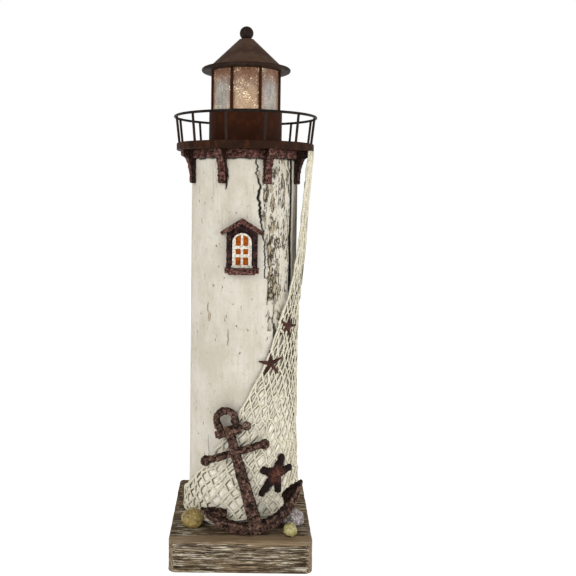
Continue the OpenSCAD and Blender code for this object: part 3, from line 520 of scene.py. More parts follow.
def starfish_material(name, base, light, dark, middle=None):
    """middle: a point, in metres, round which the light colour shows."""
    s = Shader(name, roughness=0.6, specular=0.15)
    bumps = s.cells(s.grid(1.1))
    cloud = s.noise(6, 4, 0.6)
    rub = s.noise(1.3, 3, 0.65, move=(2, 5, 1))
    share = s.ramp(cloud, 0.42, 0.62)
    if middle:
        away = s.vector("DISTANCE", s.coord, middle, out="Value")
        near = s.ramp(away, 0.0115, 0.004)
        share = s.times(near, s.plus(0.45, s.times(share, 0.55)))
    col = s.mix(share, base, light)
    col = s.over(col, dark, bumps, 0.28, 0.55, 0.75)
    col = s.over(col, (140, 104, 92), rub, 0.62, 0.74, 0.3)
    return s.finish(col, s.minus(1.0, bumps), 0.9, 0.5)


def brushed_paint(name, base, low):
    s = Shader(name, roughness=0.5, specular=0.4)
    n = s.noise(2.2, 4, 0.6)
    fine = s.noise(2.2 / 3, 3, 0.6, move=(1, 5, 2))
    col = s.over(low, base, n, 0.35, 0.62)
    col = s.over(col, low, fine, 0.6, 0.74, 0.35)
    return s.finish(col, n, 0.4, 0.3)


def amber_material():
    s = Shader("amber_pane", roughness=0.3, specular=0.1)
    n = s.noise(2.6, 4, 0.6)
    col = s.over((122, 50, 2), (176, 90, 6), n, 0.35, 0.65)
    # Painted glow: the panes give off a faint light of their own
    s.glow(col, 0.02)
    return s.finish(col, n, 0.3, 0.3)


def plastic(name, col, rough=0.45):
    s = Shader(name, roughness=rough, specular=0.45)
    grain = s.noise(0.4, 2, 0.5)
    tone = s.noise(9, 3, 0.5, move=(3, 3, 1))
    return s.finish(s.over(col, darker(col, 0.8), tone, 0.3, 0.7), grain, 0.25, 0.1)


def steel(name, col, rough=0.35):
    s = Shader(name, roughness=rough, metallic=1.0)
    lines = s.noise(0.4, 3, 0.6, (12, 1, 1))
    s.rough(s.plus(s.times(lines, 0.2), rough - 0.1))
    return s.finish(s.over(col, darker(col, 0.7), lines, 0.35, 0.65), lines, 0.2, 0.05)


def cell_wrap():
    """A battery's plain wrap, with a darker band near one end and bare metal ends."""
    s = Shader("cell_wrap", roughness=0.35, metallic=0.3)
    x = s.axis(0)
    wave = s.noise(5, 2, 0.5)
    band = s.ramp(s.math("ABSOLUTE", s.plus(x, 3.5)), 14.0, 14.4)
    col = s.mix(band, (170, 165, 152), (52, 58, 60))
    col = s.over(col, (230, 230, 225), wave, 0.4, 0.7, 0.2)
    return s.finish(col, wave, 0.1, 0.1)


def lamp_material():
    s = Shader("warm_lamp", roughness=0.25)
    n = s.noise(3, 2, 0.5)
    col = s.over((255, 214, 150), (255, 232, 190), n, 0.4, 0.6)
    s.color(col)
    s.glow(col, 1.6)
    return s.material


RED_RUST = rust("red_brown_rust", (90, 56, 48), (144, 106, 95), (56, 29, 24), 2.2, 0.6, 0.1)
CORBEL_RUST = rust(
    "corbel_rust", (88, 54, 46), (150, 112, 100), (56, 29, 24), 2.0, 0.6, 0.1, dark_z=(344.0, 355.0))
CASING_RUST = rust("casing_rust", (60, 38, 36), (108, 74, 69), (26, 18, 20), 2.0, 0.45, 0.1)
ANCHOR_RUST = rust(
    "anchor_rust", (58, 38, 30), (150, 116, 100), (22, 13, 10), 2.8, 0.5, 0.85, 5.2, 0.1)
ROOF = brown_metal("roof_patina", (80, 61, 49), (64, 47, 37), (98, 72, 55), rub_share=0.4)
BRIM = brown_metal("brim_patina", (52, 38, 30), (36, 27, 22), (78, 52, 38), rub_share=0.4)
BROWN = brown_metal("brown_patina", (46, 28, 18), (34, 21, 14), (80, 45, 26))
DRUM = brown_metal("red_brown_patina", (44, 20, 10), (28, 14, 8), (80, 40, 18))
BARS = brown_metal("bar_patina", (44, 25, 16), (32, 18, 12), (70, 38, 24), rub_share=0.3)
RAIL = brown_metal("rail_patina", (34, 28, 25), (25, 21, 19), (70, 52, 43), 0.42, 0.3)
BEAD = brown_metal("finial_patina", (40, 32, 28), (28, 23, 20), (70, 50, 40), 0.38, 0.3)
GLASS = painted_lit_glass()
CORD = cord_material()
BACKING = backing_material()
TOWER = painted_tower()
BOARD = weathered_board()
OLIVE = stone_material("olive_pebble", (164, 140, 78), (118, 100, 50), (202, 184, 132), (76, 60, 30))
SAGE = stone_material("sage_pebble", (188, 178, 118), (146, 134, 78), (224, 218, 172), (96, 86, 46))
MAUVE = stone_material(
    "mauve_pebble", (178, 168, 166), (122, 110, 112), (240, 234, 230), (84, 74, 74), 0.85)
STAR_DARK = starfish_material(
    "starfish_dark", (38, 20, 15), (142, 88, 72), (16, 9, 7), (0.034, -0.049, 0.078))
STAR_BROWN = starfish_material("starfish_brown", (74, 40, 33), (112, 68, 57), (36, 19, 15))
WHITE = brushed_paint("white_sash_paint", (240, 235, 224), (176, 164, 142))
AMBER = amber_material()
BLACK = plastic("black_plastic", (36, 36, 37))
KNOB = plastic("pale_plastic", (222, 216, 204))
LAMP_BASE = plastic("lamp_plastic", (232, 228, 216), 0.5)
JACKET = plastic("cable_jacket", (222, 214, 196), 0.4)
STEEL = steel("screw_steel", (190, 190, 190))
PLATED = steel("contact_plate", (205, 206, 208), 0.28)
CELLS = cell_wrap()
LAMP = lamp_material()


# Carried-over CAD nodes
def lumpy(name, voxel_mm, strength_mm, size_mm, rounding=0, swell_mm=0.0):
    """Makes a CAD node's surface dense and uneven, with modifiers only; rounding counts the passes
    that soften its edges, and swell_mm thickens it."""
    o = NODES[name]
    r = o.modifiers.new("dense", "REMESH")
    r.mode = "VOXEL"
    r.voxel_size = voxel_mm * MM
    r.use_smooth_shade = True
    if rounding:
        soft = o.modifiers.new("soft", "SMOOTH")
        soft.factor = 0.5
        soft.iterations = rounding
    for k, (share, factor) in enumerate([(1.0, 1.0), (0.45, 0.38)]):
        t = bpy.data.textures.new(f"{name}_lumps_{k}", "CLOUDS")
        t.noise_scale = size_mm * factor * MM
        t.noise_depth = 2
        d = o.modifiers.new(f"lumps_{k}", "DISPLACE")
        d.texture = t
        d.texture_coords = "LOCAL"
        d.strength = strength_mm * share * MM
        d.mid_level = 0.55 - swell_mm / strength_mm


CORBELS = [f"corbel_{k}" for k in range(1, 9)]
BALUSTERS = [f"baluster_{k:02d}" for k in range(1, 13)]
WINDOW = ["window_casing", "window_hood", "window_sill"]
ANCHOR = ["anchor_body", "anchor_stock", "anchor_shackle", "anchor_pin"]

for material, names in [
    (RED_RUST, ["tower_collar", "window_hood", "window_sill"]),
    (CORBEL_RUST, CORBELS),
    (CASING_RUST, ["window_casing"]),
    (ANCHOR_RUST, ANCHOR),
    (BROWN, ["gallery_deck"]),
    (ROOF, ["roof_cone"]),
    (BRIM, ["roof_brim"]),
    (BARS, ["lantern_bars"]),
    (DRUM, ["lantern_drum"]),
    (RAIL, ["handrail"] + BALUSTERS),
    (BEAD, ["finial"]),
    (GLASS, ["lantern_glass"]),
    (WHITE, ["window_sash"]),
    (AMBER, ["window_panes"]),
    (STAR_DARK, ["starfish_large"]),
    (STAR_BROWN, ["starfish_middle", "starfish_small"]),
    (OLIVE, ["stone_left"]),
    (MAUVE, ["stone_right"]),
    (SAGE, ["stone_small"]),
    (BLACK, ["battery_box", "battery_door"]),
    (CELLS, ["batteries"]),
    (PLATED, ["battery_contacts", "switch_body"]),
    (KNOB, ["switch_knob"]),
    (JACKET, ["led_cable"]),
    (LAMP_BASE, ["led_holder"]),
    (LAMP, ["led_lamp"]),
    (STEEL, ["tower_screws", "box_screws"]),
]:
    for name in names:
        NODES[name].data.materials.clear()
        NODES[name].data.materials.append(material)

for name in CORBELS:
    lumpy(name, 0.45, 1.5, 2.6)
lumpy("tower_collar", 0.7, 1.1, 2.6)
for name in WINDOW:
    lumpy(name, 0.4, 1.0, 2.2)
lumpy("anchor_body", 0.55, 2.2, 2.8, 14)
lumpy("anchor_stock", 0.45, 1.9, 2.6, swell_mm=0.3)
lumpy("anchor_shackle", 0.45, 1.9, 2.6, swell_mm=0.3)
lumpy("anchor_pin", 0.4, 1.3, 2.2)
lumpy("starfish_large", 0.4, 1.5, 2.0, swell_mm=0.5)
for name in ("starfish_middle", "starfish_small"):
    lumpy(name, 0.35, 0.6, 1.6)
for name in ("stone_left", "stone_right", "stone_small"):
    lumpy(name, 0.5, 3.0, 6.0)


# Tower post
def mark_line(az, z, corners, width_mm):
    """1 on a bent line through (azimuth, height, width share) corners, 0 away from it."""
    soft = 0.6
    out = np.zeros(az.shape)
    for (a0, z0, w0), (a1, z1, w1) in zip(corners[:-1], corners[1:]):
        t = np.clip((z - z0) / (z1 - z0), 0, 1)
        inside = (z - z0) * (z - z1) <= 0
        a = a0 + (a1 - a0) * t
        w = width_mm * (w0 + (w1 - w0) * t)
        d = np.abs(az - a) * math.pi / 180 * TOWER_R
        out = np.maximum(out, inside * np.clip((w / 2 + soft / 2 - d) / soft, 0, 1))
    return out


def mark_spot(az, z, a0, z0, half_w, half_h):
    u = (az - a0) * math.pi / 180 * TOWER_R / half_w
    v = (z - z0) / half_h
    return np.clip(1.4 - 1.2 * np.sqrt(u * u + v * v), 0, 1)


def zone(az, z, a0, a1, z0, z1, soft_a=5.0, soft_z=14.0):
    """1 inside a patch of the tower, falling off softly round it."""
    u = np.clip(np.minimum(az - a0, a1 - az) / soft_a + 0.5, 0, 1)
    v = np.clip(np.minimum(z - z0, z1 - z) / soft_z + 0.5, 0, 1)
    return u * u * (3 - 2 * u) * v * v * (3 - 2 * v)


def near_cords(az, z):
    """1 beside the net's cords on the post, where their shadow is painted, falling off in 1 mm."""
    near_post = TOWER_R + 3.2
    lines = [n for n in net_strands() if n[0][2] < 230 or math.hypot(n[0][0], n[0][1]) < near_post]
    best = np.full(az.shape, 9.0)
    arc = np.radians(az) * TOWER_R
    # The painted shadow lies a little below and to the right of each cord, away from the light
    for line in lines:
        a = [math.atan2(q[0], -q[1]) * TOWER_R + 1.35 for q in line]
        h = [q[2] - 0.8 for q in line]
        near = np.nonzero((arc > min(a) - 3) & (arc < max(a) + 3) & (z > min(h) - 3) & (z < max(h) + 3))[0]
        for a0, h0, a1, h1 in zip(a[:-1], h[:-1], a[1:], h[1:]):
            du, dv = a1 - a0, h1 - h0
            t = np.clip(((arc[near] - a0) * du + (z[near] - h0) * dv) / max(du * du + dv * dv, 1e-6), 0, 1)
            best[near] = np.minimum(best[near], np.hypot(arc[near] - a0 - t * du, z[near] - h0 - t * dv))
    return np.clip(2.4 - best / 0.42, 0, 1)


# Marks on the post: chips and dents as (azimuth, height, half width, half height), and lines of
# (azimuth, height, width share) corners with their width and darkness
CHIPS = [
    (28.0, 344, 1.9, 4.0), (30.2, 308, 2.6, 4.4), (29.5, 286, 2.0, 5.4), (34.5, 254, 1.5, 5.6),
    (37.5, 248, 1.2, 5.4), (-37.6, 225, 1.4, 5.0), (-39.0, 234, 0.6, 4.6), (66, 300, 1.8, 36),
    (19, 352, 1.0, 5), (15, 356, 1.0, 5), (22.8, 336, 1.0, 4)]
DENTS = [
    (-29.5, 291, 0.6, 0.7), (-33, 254, 0.6, 0.7), (-27, 272, 0.4, 0.5), (-45, 330, 0.4, 0.8),
    (-36, 335, 0.35, 0.5), (-20, 262, 0.4, 0.5), (-10, 238, 0.35, 0.5), (-9, 322, 0.4, 0.5),
    (-3.4, 193, 0.5, 0.9), (5, 214, 0.4, 0.5), (9, 243, 0.35, 0.5), (38.6, 294, 0.8, 0.9),
    (46, 288, 0.6, 0.8), (29.0, 261, 0.9, 1.0)]
SEAM = [
    (57.5, 379, 1), (58.1, 340, 0.9), (57.4, 300, 1.0), (58.0, 276, 1.1), (57.0, 258, 1.2),
    (56.2, 246, 0.5)]
SPLIT = [
    (11.5, 372, 0.5), (12.3, 363, 0.8), (12.5, 355, 0.6), (14.8, 350, 1.0), (16.2, 347, 1.0),
    (14.6, 341, 1.3), (13.6, 335, 1.2), (15.7, 331, 1.0), (15.1, 325, 1.4), (15.7, 318, 1.0),
    (17.5, 312, 0.7), (19.2, 305, 0.8), (21.0, 293, 0.6), (21.9, 280, 0.7), (22.3, 262, 0.5)]
CRACKS = [
    ([(-31, 370, 1), (-30.4, 345, 0.4)], 0.6, 0.45),
    ([(-34, 362, 0.5), (-33.6, 330, 0.4)], 0.5, 0.35),
    # The line at azimuth -81.5 is painted shade: a dark line down the post's left edge as seen from the
    # front, broken up like a crack
    ([(-81.5, 378, 1), (-82.2, 300, 0.5), (-81.2, 262, 1.2), (-81.8, 200, 0.6), (-81, 130, 1.1),
      (-82, 60, 0.3)], 2.4, 0.8),
    ([(-73, 200, 0.6), (-72, 120, 1), (-73, 50, 0.6)], 0.6, 0.4),
    ([(-42.5, 94, 1), (-42, 84, 0.5)], 0.9, 0.7),
    ([(-15.6, 215, 0.6), (-15.9, 206, 1), (-16.4, 199, 0.6)], 0.9, 0.75),
    ([(-36.5, 113, 0.5), (-36.8, 101, 1), (-36.3, 91, 0.6)], 1.0, 0.6),
    ([(-55, 346, 0.7), (-55, 339, 0.4)], 0.8, 0.5),
    ([(-57, 208, 0.7), (-57, 200, 0.4)], 0.8, 0.5),
    ([(-23.5, 330, 0.5), (-23.2, 312, 0.7), (-23.6, 300, 0.4)], 0.6, 0.4),
    ([(-20.5, 366, 1.3), (-17.4, 355, 0.7), (-17.0, 352, 0.4)], 1.8, 1.0),
    ([(-19.0, 360, 1.0), (-18.6, 348, 1.1), (-19.4, 343, 0.6)], 1.8, 1.0),
    ([(32.6, 249, 0.6), (33.2, 232, 1.1), (33.0, 205, 0.8), (33.6, 196, 0.6)], 1.1, 0.85),
    ([(34.2, 219, 0.8), (34.9, 210, 1.5), (34.4, 203, 0.8)], 3.0, 0.85),
    ([(25.2, 252, 0.5), (25.6, 243, 1.1), (24.8, 237, 0.6)], 1.6, 0.75),
    ([(26.0, 232, 0.5), (24.9, 226, 0.9)], 1.6, 0.75),
    ([(128, 350, 1), (129, 260, 0.7), (128, 190, 0.4)], 1.2, 0.8),
    ([(-118, 300, 0.6), (-117, 210, 1), (-118, 120, 0.5)], 1.0, 0.7)]
# The left edge of the worn patch under the gallery: heights and azimuths
WORN_LEFT = [244, 280, 293, 305, 319, 335, 350, 372], [23, 22.5, 21.5, 19.5, 16.5, 18, 22, 25]
# Other worn patches: share, then the limits and softness that zone takes
WORN = [
    (0.3, 25, 36, 248, 290, 3, 12), (0.45, 8, 24, 335, 374, 4, 12), (0.55, 24, 44, 200, 250, 4, 12),
    (0.3, 24, 33, 100, 200, 5, 20), (0.7, 150, 174, 60, 300), (0.6, -150, -128, 180, 360)]


def build_tower():
    cols, rows = 520, 480
    az, z = np.meshgrid(np.linspace(-180, 180, cols, endpoint=False), np.linspace(BASE_H, TOWER_TOP, rows))
    az, z = az.ravel(), z.ravel()
    p = round_points(az, TOWER_R, z)
    wobble = fbm(p / np.array([6.0, 6.0, 30.0]), 3, 5)
    az_w = az + 0.9 * fbm(p / np.array([40.0, 40.0, 7.0]), 3, 8)
    wear = 0.16 + 0.1 * wobble
    left = np.interp(z, *WORN_LEFT)
    wear += 0.8 * zone(az - left, z, 0, 57 - left, 244, 385, 2.5, 10)
    for share, *limits in WORN:
        wear += share * zone(az, z, *limits)
    wear = np.clip(wear, 0, 1.25)
    mark = np.zeros(len(az))
    for chip in CHIPS:
        mark = np.maximum(mark, mark_spot(az_w, z, *chip))
    ragged = az + 1.3 * fbm(p / np.array([30.0, 30.0, 3.2]), 3, 14)
    dark = np.maximum(mark_line(az_w, z, SEAM, 4.6), mark_line(ragged, z, SPLIT, 2.3))
    # Painted shadow: a ragged dark line just under the collar, round the front of the post
    collar_shadow_z = 371.0 + 0.9 * fbm(p / 5.0, 2, 19)
    dark = np.maximum(dark, 0.9 * np.clip((z - collar_shadow_z) / 0.8, 0, 1) * (np.abs(az) < 75))
    for line, width, share in CRACKS:
        dark = np.maximum(dark, share * mark_line(az_w, z, line, width))
    for a0, z0, hw, hh in DENTS:
        dark = np.maximum(dark, 0.85 * mark_spot(az_w, z, a0, z0, hw * 1.6, hh * 1.6))
    # Painted shadow beside the net's cords, strongest at the middle heights
    painted_net_shade = near_cords(az, z) * np.clip(0.85 + 0.5 * fbm(p / 7.0, 2, 41), 0.3, 1)
    painted_net_shade *= np.interp(z, [90, 120, 235, 270], [0.7, 0.97, 0.97, 0.7])
    # Painted shade: the post is darkest behind the gathered part of the net
    painted_net_shade = np.maximum(painted_net_shade, 0.85 * zone(az, z, 56, 92, 150, 258, 10, 30))
    depth = 0.15 + 0.12 * fbm(p / np.array([12.0, 12.0, 60.0]), 3, 21) + 0.35 * mark + 0.8 * dark
    lines = fbm(p / np.array([1.3, 1.3, 9.0]), 3, 3)
    depth += np.clip(wear - 0.5, 0, 1) * np.clip(lines, 0, 1) * 0.8
    depth = np.clip(depth, 0.02, 1.6)
    verts = round_points(az, TOWER_R - depth, z)
    faces = grid_faces(rows, cols, close=True)
    # Rings in from the ends, down the bore
    extra, fields = [verts], [wear, mark, dark, painted_net_shade]
    start = len(verts)
    for z_end, edge_row in ((TOWER_TOP, rows - 1), (BASE_H, 0)):
        extra.append(round_points(az[:cols], BORE_R, z_end))
        for i in range(cols):
            k = (i + 1) % cols
            quad = (edge_row * cols + i, edge_row * cols + k, start + k, start + i)
            faces.append(quad if z_end == TOWER_TOP else quad[::-1])
        start += cols
    top_ring, foot_ring = rows * cols, rows * cols + cols
    for i in range(cols):
        k = (i + 1) % cols
        faces.append((top_ring + i, top_ring + k, foot_ring + k, foot_ring + i))
    verts = np.concatenate(extra)
    pad = np.zeros(2 * cols)
    o = make_mesh("tower_wood", verts, faces, TOWER)
    for label, values in zip(("wear", "mark", "dark", "painted_net_shade"), fields):
        put_attribute(o, label, np.concatenate([values, pad]))
    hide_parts("tower_post")
    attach(o, BODY)


# Base board
def round_drop(d, r):
    """How far a round edge of radius r falls away at distance d from its end."""
    return np.where(d < r, r - np.sqrt(np.maximum(0, r * r - (r - np.minimum(d, r)) ** 2)), 0)


def base_half_width(y):
    """Half width of the board's plan at depth y, with its round corners."""
    t = (y - BASE_FRONT_Y) / (BASE_BACK_Y - BASE_FRONT_Y)
    w = (BASE_FRONT_W + (BASE_BACK_W - BASE_FRONT_W) * t) / 2
    return w - round_drop(np.minimum(y - BASE_FRONT_Y, BASE_BACK_Y - y), BASE_CORNER_R)


def groove_depth(u, v, seed, spacing, length):
    """Grooves along u: v across them. 0 on ridges, about 1 in deep grooves."""
    q = points(u / length, v / spacing, 3.7)
    q[:, 1] += 0.35 * value_noise(points(u / (length * 0.5), v / 9.0, 1.0), seed + 9)
    a = fbm(q, 3, seed, 0.55)
    b = fbm(q * np.array([0.7, 0.42, 1.0]) + 5.1, 2, seed + 4)
    return np.clip(0.55 * a + 0.75 * b + 0.28, 0, 1.3)


def board_shape():
    """Points and faces of the board's smooth top and sides."""
    nx, ny, nz = 340, 260, 84
    y = BASE_FRONT_Y + (BASE_BACK_Y - BASE_FRONT_Y) * (1 - np.cos(np.linspace(0, math.pi, ny))) / 2 * 0.25
    y = y + (BASE_BACK_Y - BASE_FRONT_Y) * np.linspace(0, 1, ny) * 0.75
    y[0], y[-1] = BASE_FRONT_Y, BASE_BACK_Y
    u = np.linspace(-1, 1, nx)
    U, Y = np.meshgrid(u, y)
    X = U * base_half_width(Y)
    front_edge_r, side_edge_r = 2.5, 1.4
    fall = round_drop(np.minimum(Y - BASE_FRONT_Y, BASE_BACK_Y - Y), front_edge_r)
    fall = np.maximum(fall, round_drop(base_half_width(Y) - np.abs(X), side_edge_r))
    Z = BASE_H - fall
    top = points(X.ravel(), Y.ravel(), Z.ravel())
    idx = np.arange(nx * ny).reshape(ny, nx)
    ring = list(idx[0, :]) + list(idx[1:, -1]) + list(idx[-1, -2::-1]) + list(idx[-2:0:-1, 0])
    faces = grid_faces(ny, nx)
    verts = [top]
    n_top, n_ring = len(top), len(ring)
    rim = top[ring]
    for k in range(1, nz):
        t = k / (nz - 1)
        low = rim.copy()
        low[:, 2] = rim[:, 2] * (1 - t)
        verts.append(low)
    def at(k, i):
        i %= n_ring
        return ring[i] if k == 0 else n_top + (k - 1) * n_ring + i
    for k in range(nz - 1):
        for i in range(n_ring):
            faces.append((at(k, i + 1), at(k, i), at(k + 1, i), at(k + 1, i + 1)))
    return np.concatenate(verts), faces


def carve_board(o, verts):
    """Presses the grooves and the worn band in along the normals, and stores them for the shader."""
    nrm = np.zeros(len(verts) * 3)
    o.data.vertices.foreach_get("normal", nrm)
    nrm = nrm.reshape(-1, 3)
    x, y, z = verts.T
    up = np.clip(nrm[:, 2], 0, 1) ** 2
    fb = nrm[:, 1] ** 2
    end = np.clip(nrm[:, 0] ** 2 * 1.15, 0, 1)
    g_top = groove_depth(x, y, 11, 1.5, 30.0)
    g_front = groove_depth(x, z, 31, 0.95, 26.0)
    g_fine = groove_depth(x, z, 57, 0.5, 24.0)
    knots = fbm(points(x / 7, y / 5.5, z / 5), 3, 77)
    left_knots = np.clip((-x - 50) / 6, 0, 1) * up * np.clip(knots * 1.6, 0, 1)
    rings = np.clip(fbm(points(x / 20, y / 4.2, z / 2.6), 3, 51) * 0.8 + 0.25, 0, 1)
    # A plain, worn band along the front edge of the top, with a deep line under it
    line_z = 25.4 + 0.5 * value_noise(points(x / 22, 0, 0), 3)
    band_back = BASE_FRONT_Y + 11.5 + 1.5 * value_noise(points(x / 9, 0, 0), 13)
    strip = np.clip((band_back - y) / 2.0, 0, 1)
    smooth = np.maximum(strip * (1 - fb), fb * np.clip((z - line_z) / 0.8, 0, 1))
    groove = up * (0.5 * g_top + 0.6 * left_knots) + fb * (0.42 * g_front + 0.62 * g_fine)
    groove = (groove + end * rings * 0.7) * (1 - 0.75 * smooth)
    line = np.exp(-((z - line_z + 0.6) / 0.75) ** 2) * fb
    groove = np.maximum(groove, line * (0.7 + 0.45 * value_noise(points(x / 12, 4, 0), 6)))
    groove = np.clip(groove, 0, 1.1)
    settle = np.clip(z / 1.5, 0, 1)
    under_post = np.sqrt(x * x + y * y) < TOWER_R - 2
    rough = 0.25 * np.clip(fbm(verts / 18.0, 3, 91), -0.4, 1)
    depth = (0.1 + (1.15 - 0.55 * end) * groove + rough) * settle
    depth = np.where(under_post & (up > 0.9), 0.02, np.clip(depth, 0, 2.2))
    verts = verts - nrm * depth[:, None]
    verts[:, 2] = np.maximum(verts[:, 2], 0)
    o.data.vertices.foreach_set("co", (verts * MM).astype(np.float32).ravel())
    put_attribute(o, "groove", groove * settle)
    put_attribute(o, "end_grain", end)
    put_attribute(o, "smooth_edge", smooth)


def build_underside():
    """The board's underside, with its pocket and holes, from the CAD solid."""
    near = 0.6
    bm = bmesh.new()
    bm.from_mesh(NODES["base_block"].data)
    drop = []
    for f in bm.faces:
        c = f.calc_center_median() / MM
        side = abs(abs(c.x) - float(base_half_width(np.array(c.y)))) < near
        outer = side or c.y < BASE_FRONT_Y + near or c.y > BASE_BACK_Y - near
        if (c.z > 24 and f.normal.z > 0.05) or (outer and abs(f.normal.z) < 0.98):
            drop.append(f)
    bmesh.ops.delete(bm, geom=drop, context="FACES")
    under = bpy.data.meshes.new("base_underside")
    bm.to_mesh(under)
    bm.free()
    under_o = add_object("base_underside", under)
    under.materials.append(BOARD)
    return under_o


def build_base():
    verts, faces = board_shape()
    o = make_mesh("base_board", verts, faces, BOARD)
    carve_board(o, verts)
    under_o = build_underside()
    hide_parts("base_block")
    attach(o, BODY)
    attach(under_o, BODY)


build_base()


# Fishing net: tables over its height from the top, 0, to the hem, 1. NET_LEFT and NET_RIGHT are the
# azimuths of its edges, NET_HANG its distance from the post and NET_MESH the width of its cells in
# degrees; NET_HEM is the hem's height over the board, from its left end to its right
NET_LEFT = [
    (0, 63), (0.1, 67), (0.2, 64), (0.3, 58), (0.38, 51), (0.44, 41), (0.5, 33), (0.56, 24),
    (0.62, 12), (0.67, 2), (0.72, -7), (0.8, -26), (0.86, -42), (0.9, -58), (0.94, -76), (1, -86)]
NET_RIGHT = [(0, 72), (0.1, 84), (0.2, 93), (0.35, 99), (0.6, 102), (1, 106)]
NET_HANG = [
    (0, 13.2), (0.012, 13.2), (0.04, 11.1), (0.14, 7.4), (0.26, 5.5), (0.32, 3.8), (0.45, 0.8),
    (0.55, 0), (1, 0)]
NET_HEM = [(0, 1.92), (0.2, 4.8), (0.45, 11.04), (0.75, 14.4), (1, 24)]
NET_MESH = [(0, 1.5), (0.2, 3.2), (0.35, 5), (0.5, 6.2), (0.62, 7.6), (0.74, 9), (0.88, 11), (1, 11.5)]
NET_TOP = TOWER_TOP - 1.5
CORD_SIDES = 6


def table_at(x, pairs):
    return float(np.interp(x, [p[0] for p in pairs], [p[1] for p in pairs]))


def net_azimuth(u, v):
    left = table_at(v, NET_LEFT)
    return left + (table_at(v, NET_RIGHT) - left) * u


def net_point(u, v, out):
    """A point of the net: u across from its left edge, v down from its top, both 0 to 1."""
    turn = math.radians(net_azimuth(u, v))
    z = NET_TOP + (BASE_H + table_at(u, NET_HEM) - NET_TOP) * v
    foot = 2.5 * max(0, (v - 0.88) / 0.12) * max(0, 1 - u / 0.25)
    at_left_edge = max(0, 1 - u / 0.12) * min(1, max(0, (v - 0.7) / 0.1))
    turn += math.radians(1.6) * at_left_edge * math.sin(130 * v + 2 * math.sin(41 * v))
    r = TOWER_R + 1.0 + table_at(v, NET_HANG) + foot + out
    return np.array([r * math.sin(turn), -r * math.cos(turn), z])


def net_fold(u, v):
    """How far the net stands off in folds near its foot."""
    low = max(0.0, (v - 0.8) / 0.2)
    turn = net_azimuth(u, v)
    room = np.interp(turn, [-80, -55, -40, -8, 0, 26, 34], [0.45, 0.6, 1.0, 1.0, 0.45, 0.45, 1.0])
    wave = 0.5 + 0.5 * math.sin(math.radians(turn) * 9.5 + 0.8 + 0.6 * math.sin(turn / 13.0))
    return 3.4 * low * room * wave


@functools.cache
def net_knots():
    """The net's knots by row and column. Columns are counted from the right edge, and the left edge
    cuts them off."""
    rng = np.random.default_rng(11)
    v = [0.0]
    while v[-1] < 1:
        step_mm = np.interp(v[-1], [0, 0.25, 0.6, 0.85, 1], [8.0, 8.0, 7.4, 6.8, 6.2])
        v.append(v[-1] + step_mm / (NET_TOP - BASE_H - 11))
    v = [share / v[-2] for share in v[:-1]]
    rows, cols = len(v), 44
    jitter_u = rng.normal(0, 0.17, (rows, cols))
    jitter_v = rng.normal(0, 0.2, (rows, cols))
    lift = rng.uniform(0, 1, (rows, cols))
    knots = {}
    for j in range(rows):
        for i in range(cols):
            if (i + j) % 2:
                continue
            loose = 1.0 if 0 < j < rows - 1 else 0.3
            dv = (v[min(j + 1, rows - 1)] - v[max(j - 1, 0)]) / 2
            share = min(1.0, max(0.0, v[j] + jitter_v[j, i] * loose * dv))
            left, right, cell = (table_at(share, t) for t in (NET_LEFT, NET_RIGHT, NET_MESH))
            turn = right - (i + jitter_u[j, i] * loose) * cell / 2
            if turn < left - cell / 2:
                continue
            u = min(1.0, max(0.0, (turn - left) / (right - left)))
            crowd = np.interp(share, [0, 0.25, 0.4, 0.55, 1], [1.8, 2.0, 1.3, 0.5, 0.3])
            knots[j, i] = net_point(u, share, 0.3 + crowd * lift[j, i] + net_fold(u, share))
    return knots


@functools.cache
def net_strands():
    """Every cord between two knots, as a line of points."""
    rng = np.random.default_rng(5)
    knots = net_knots()
    strands = []
    for (j, i), p in knots.items():
        for step in (-1, 1):
            q = knots.get((j + 1, i + step))
            if q is None:
                continue
            bow = rng.normal(0, 0.4, 3)
            line = []
            for k in range(6):
                s = p + (q - p) * k / 5 + bow * math.sin(math.pi * k / 5)
                r_now, r_least = math.hypot(s[0], s[1]), TOWER_R + 0.8
                if r_now < r_least:
                    s[:2] *= r_least / r_now
                line.append(s)
            strands.append(line)
    return strands


def shade_of(verts, line):
    """1 for tube points on the side of their cord's line that faces the post or away from the light."""
    mid = np.repeat(np.asarray(line), CORD_SIDES, axis=0)
    d = np.asarray(verts)[: len(mid)] - mid
    d /= np.maximum(np.linalg.norm(d, axis=1), 1e-9)[:, None]
    out = mid * np.array([1, 1, 0])
    out /= np.maximum(np.linalg.norm(out, axis=1), 1e-9)[:, None]
    away = np.array([0.55, 0.0, -0.45])
    gathered = np.interp(mid[:, 2], [90, 170, 240, 320], [0.0, 0.35, 0.3, 0.0])
    return np.clip(0.42 + gathered - 0.75 * (d * out).sum(1) + 0.5 * (d @ away), 0, 1)


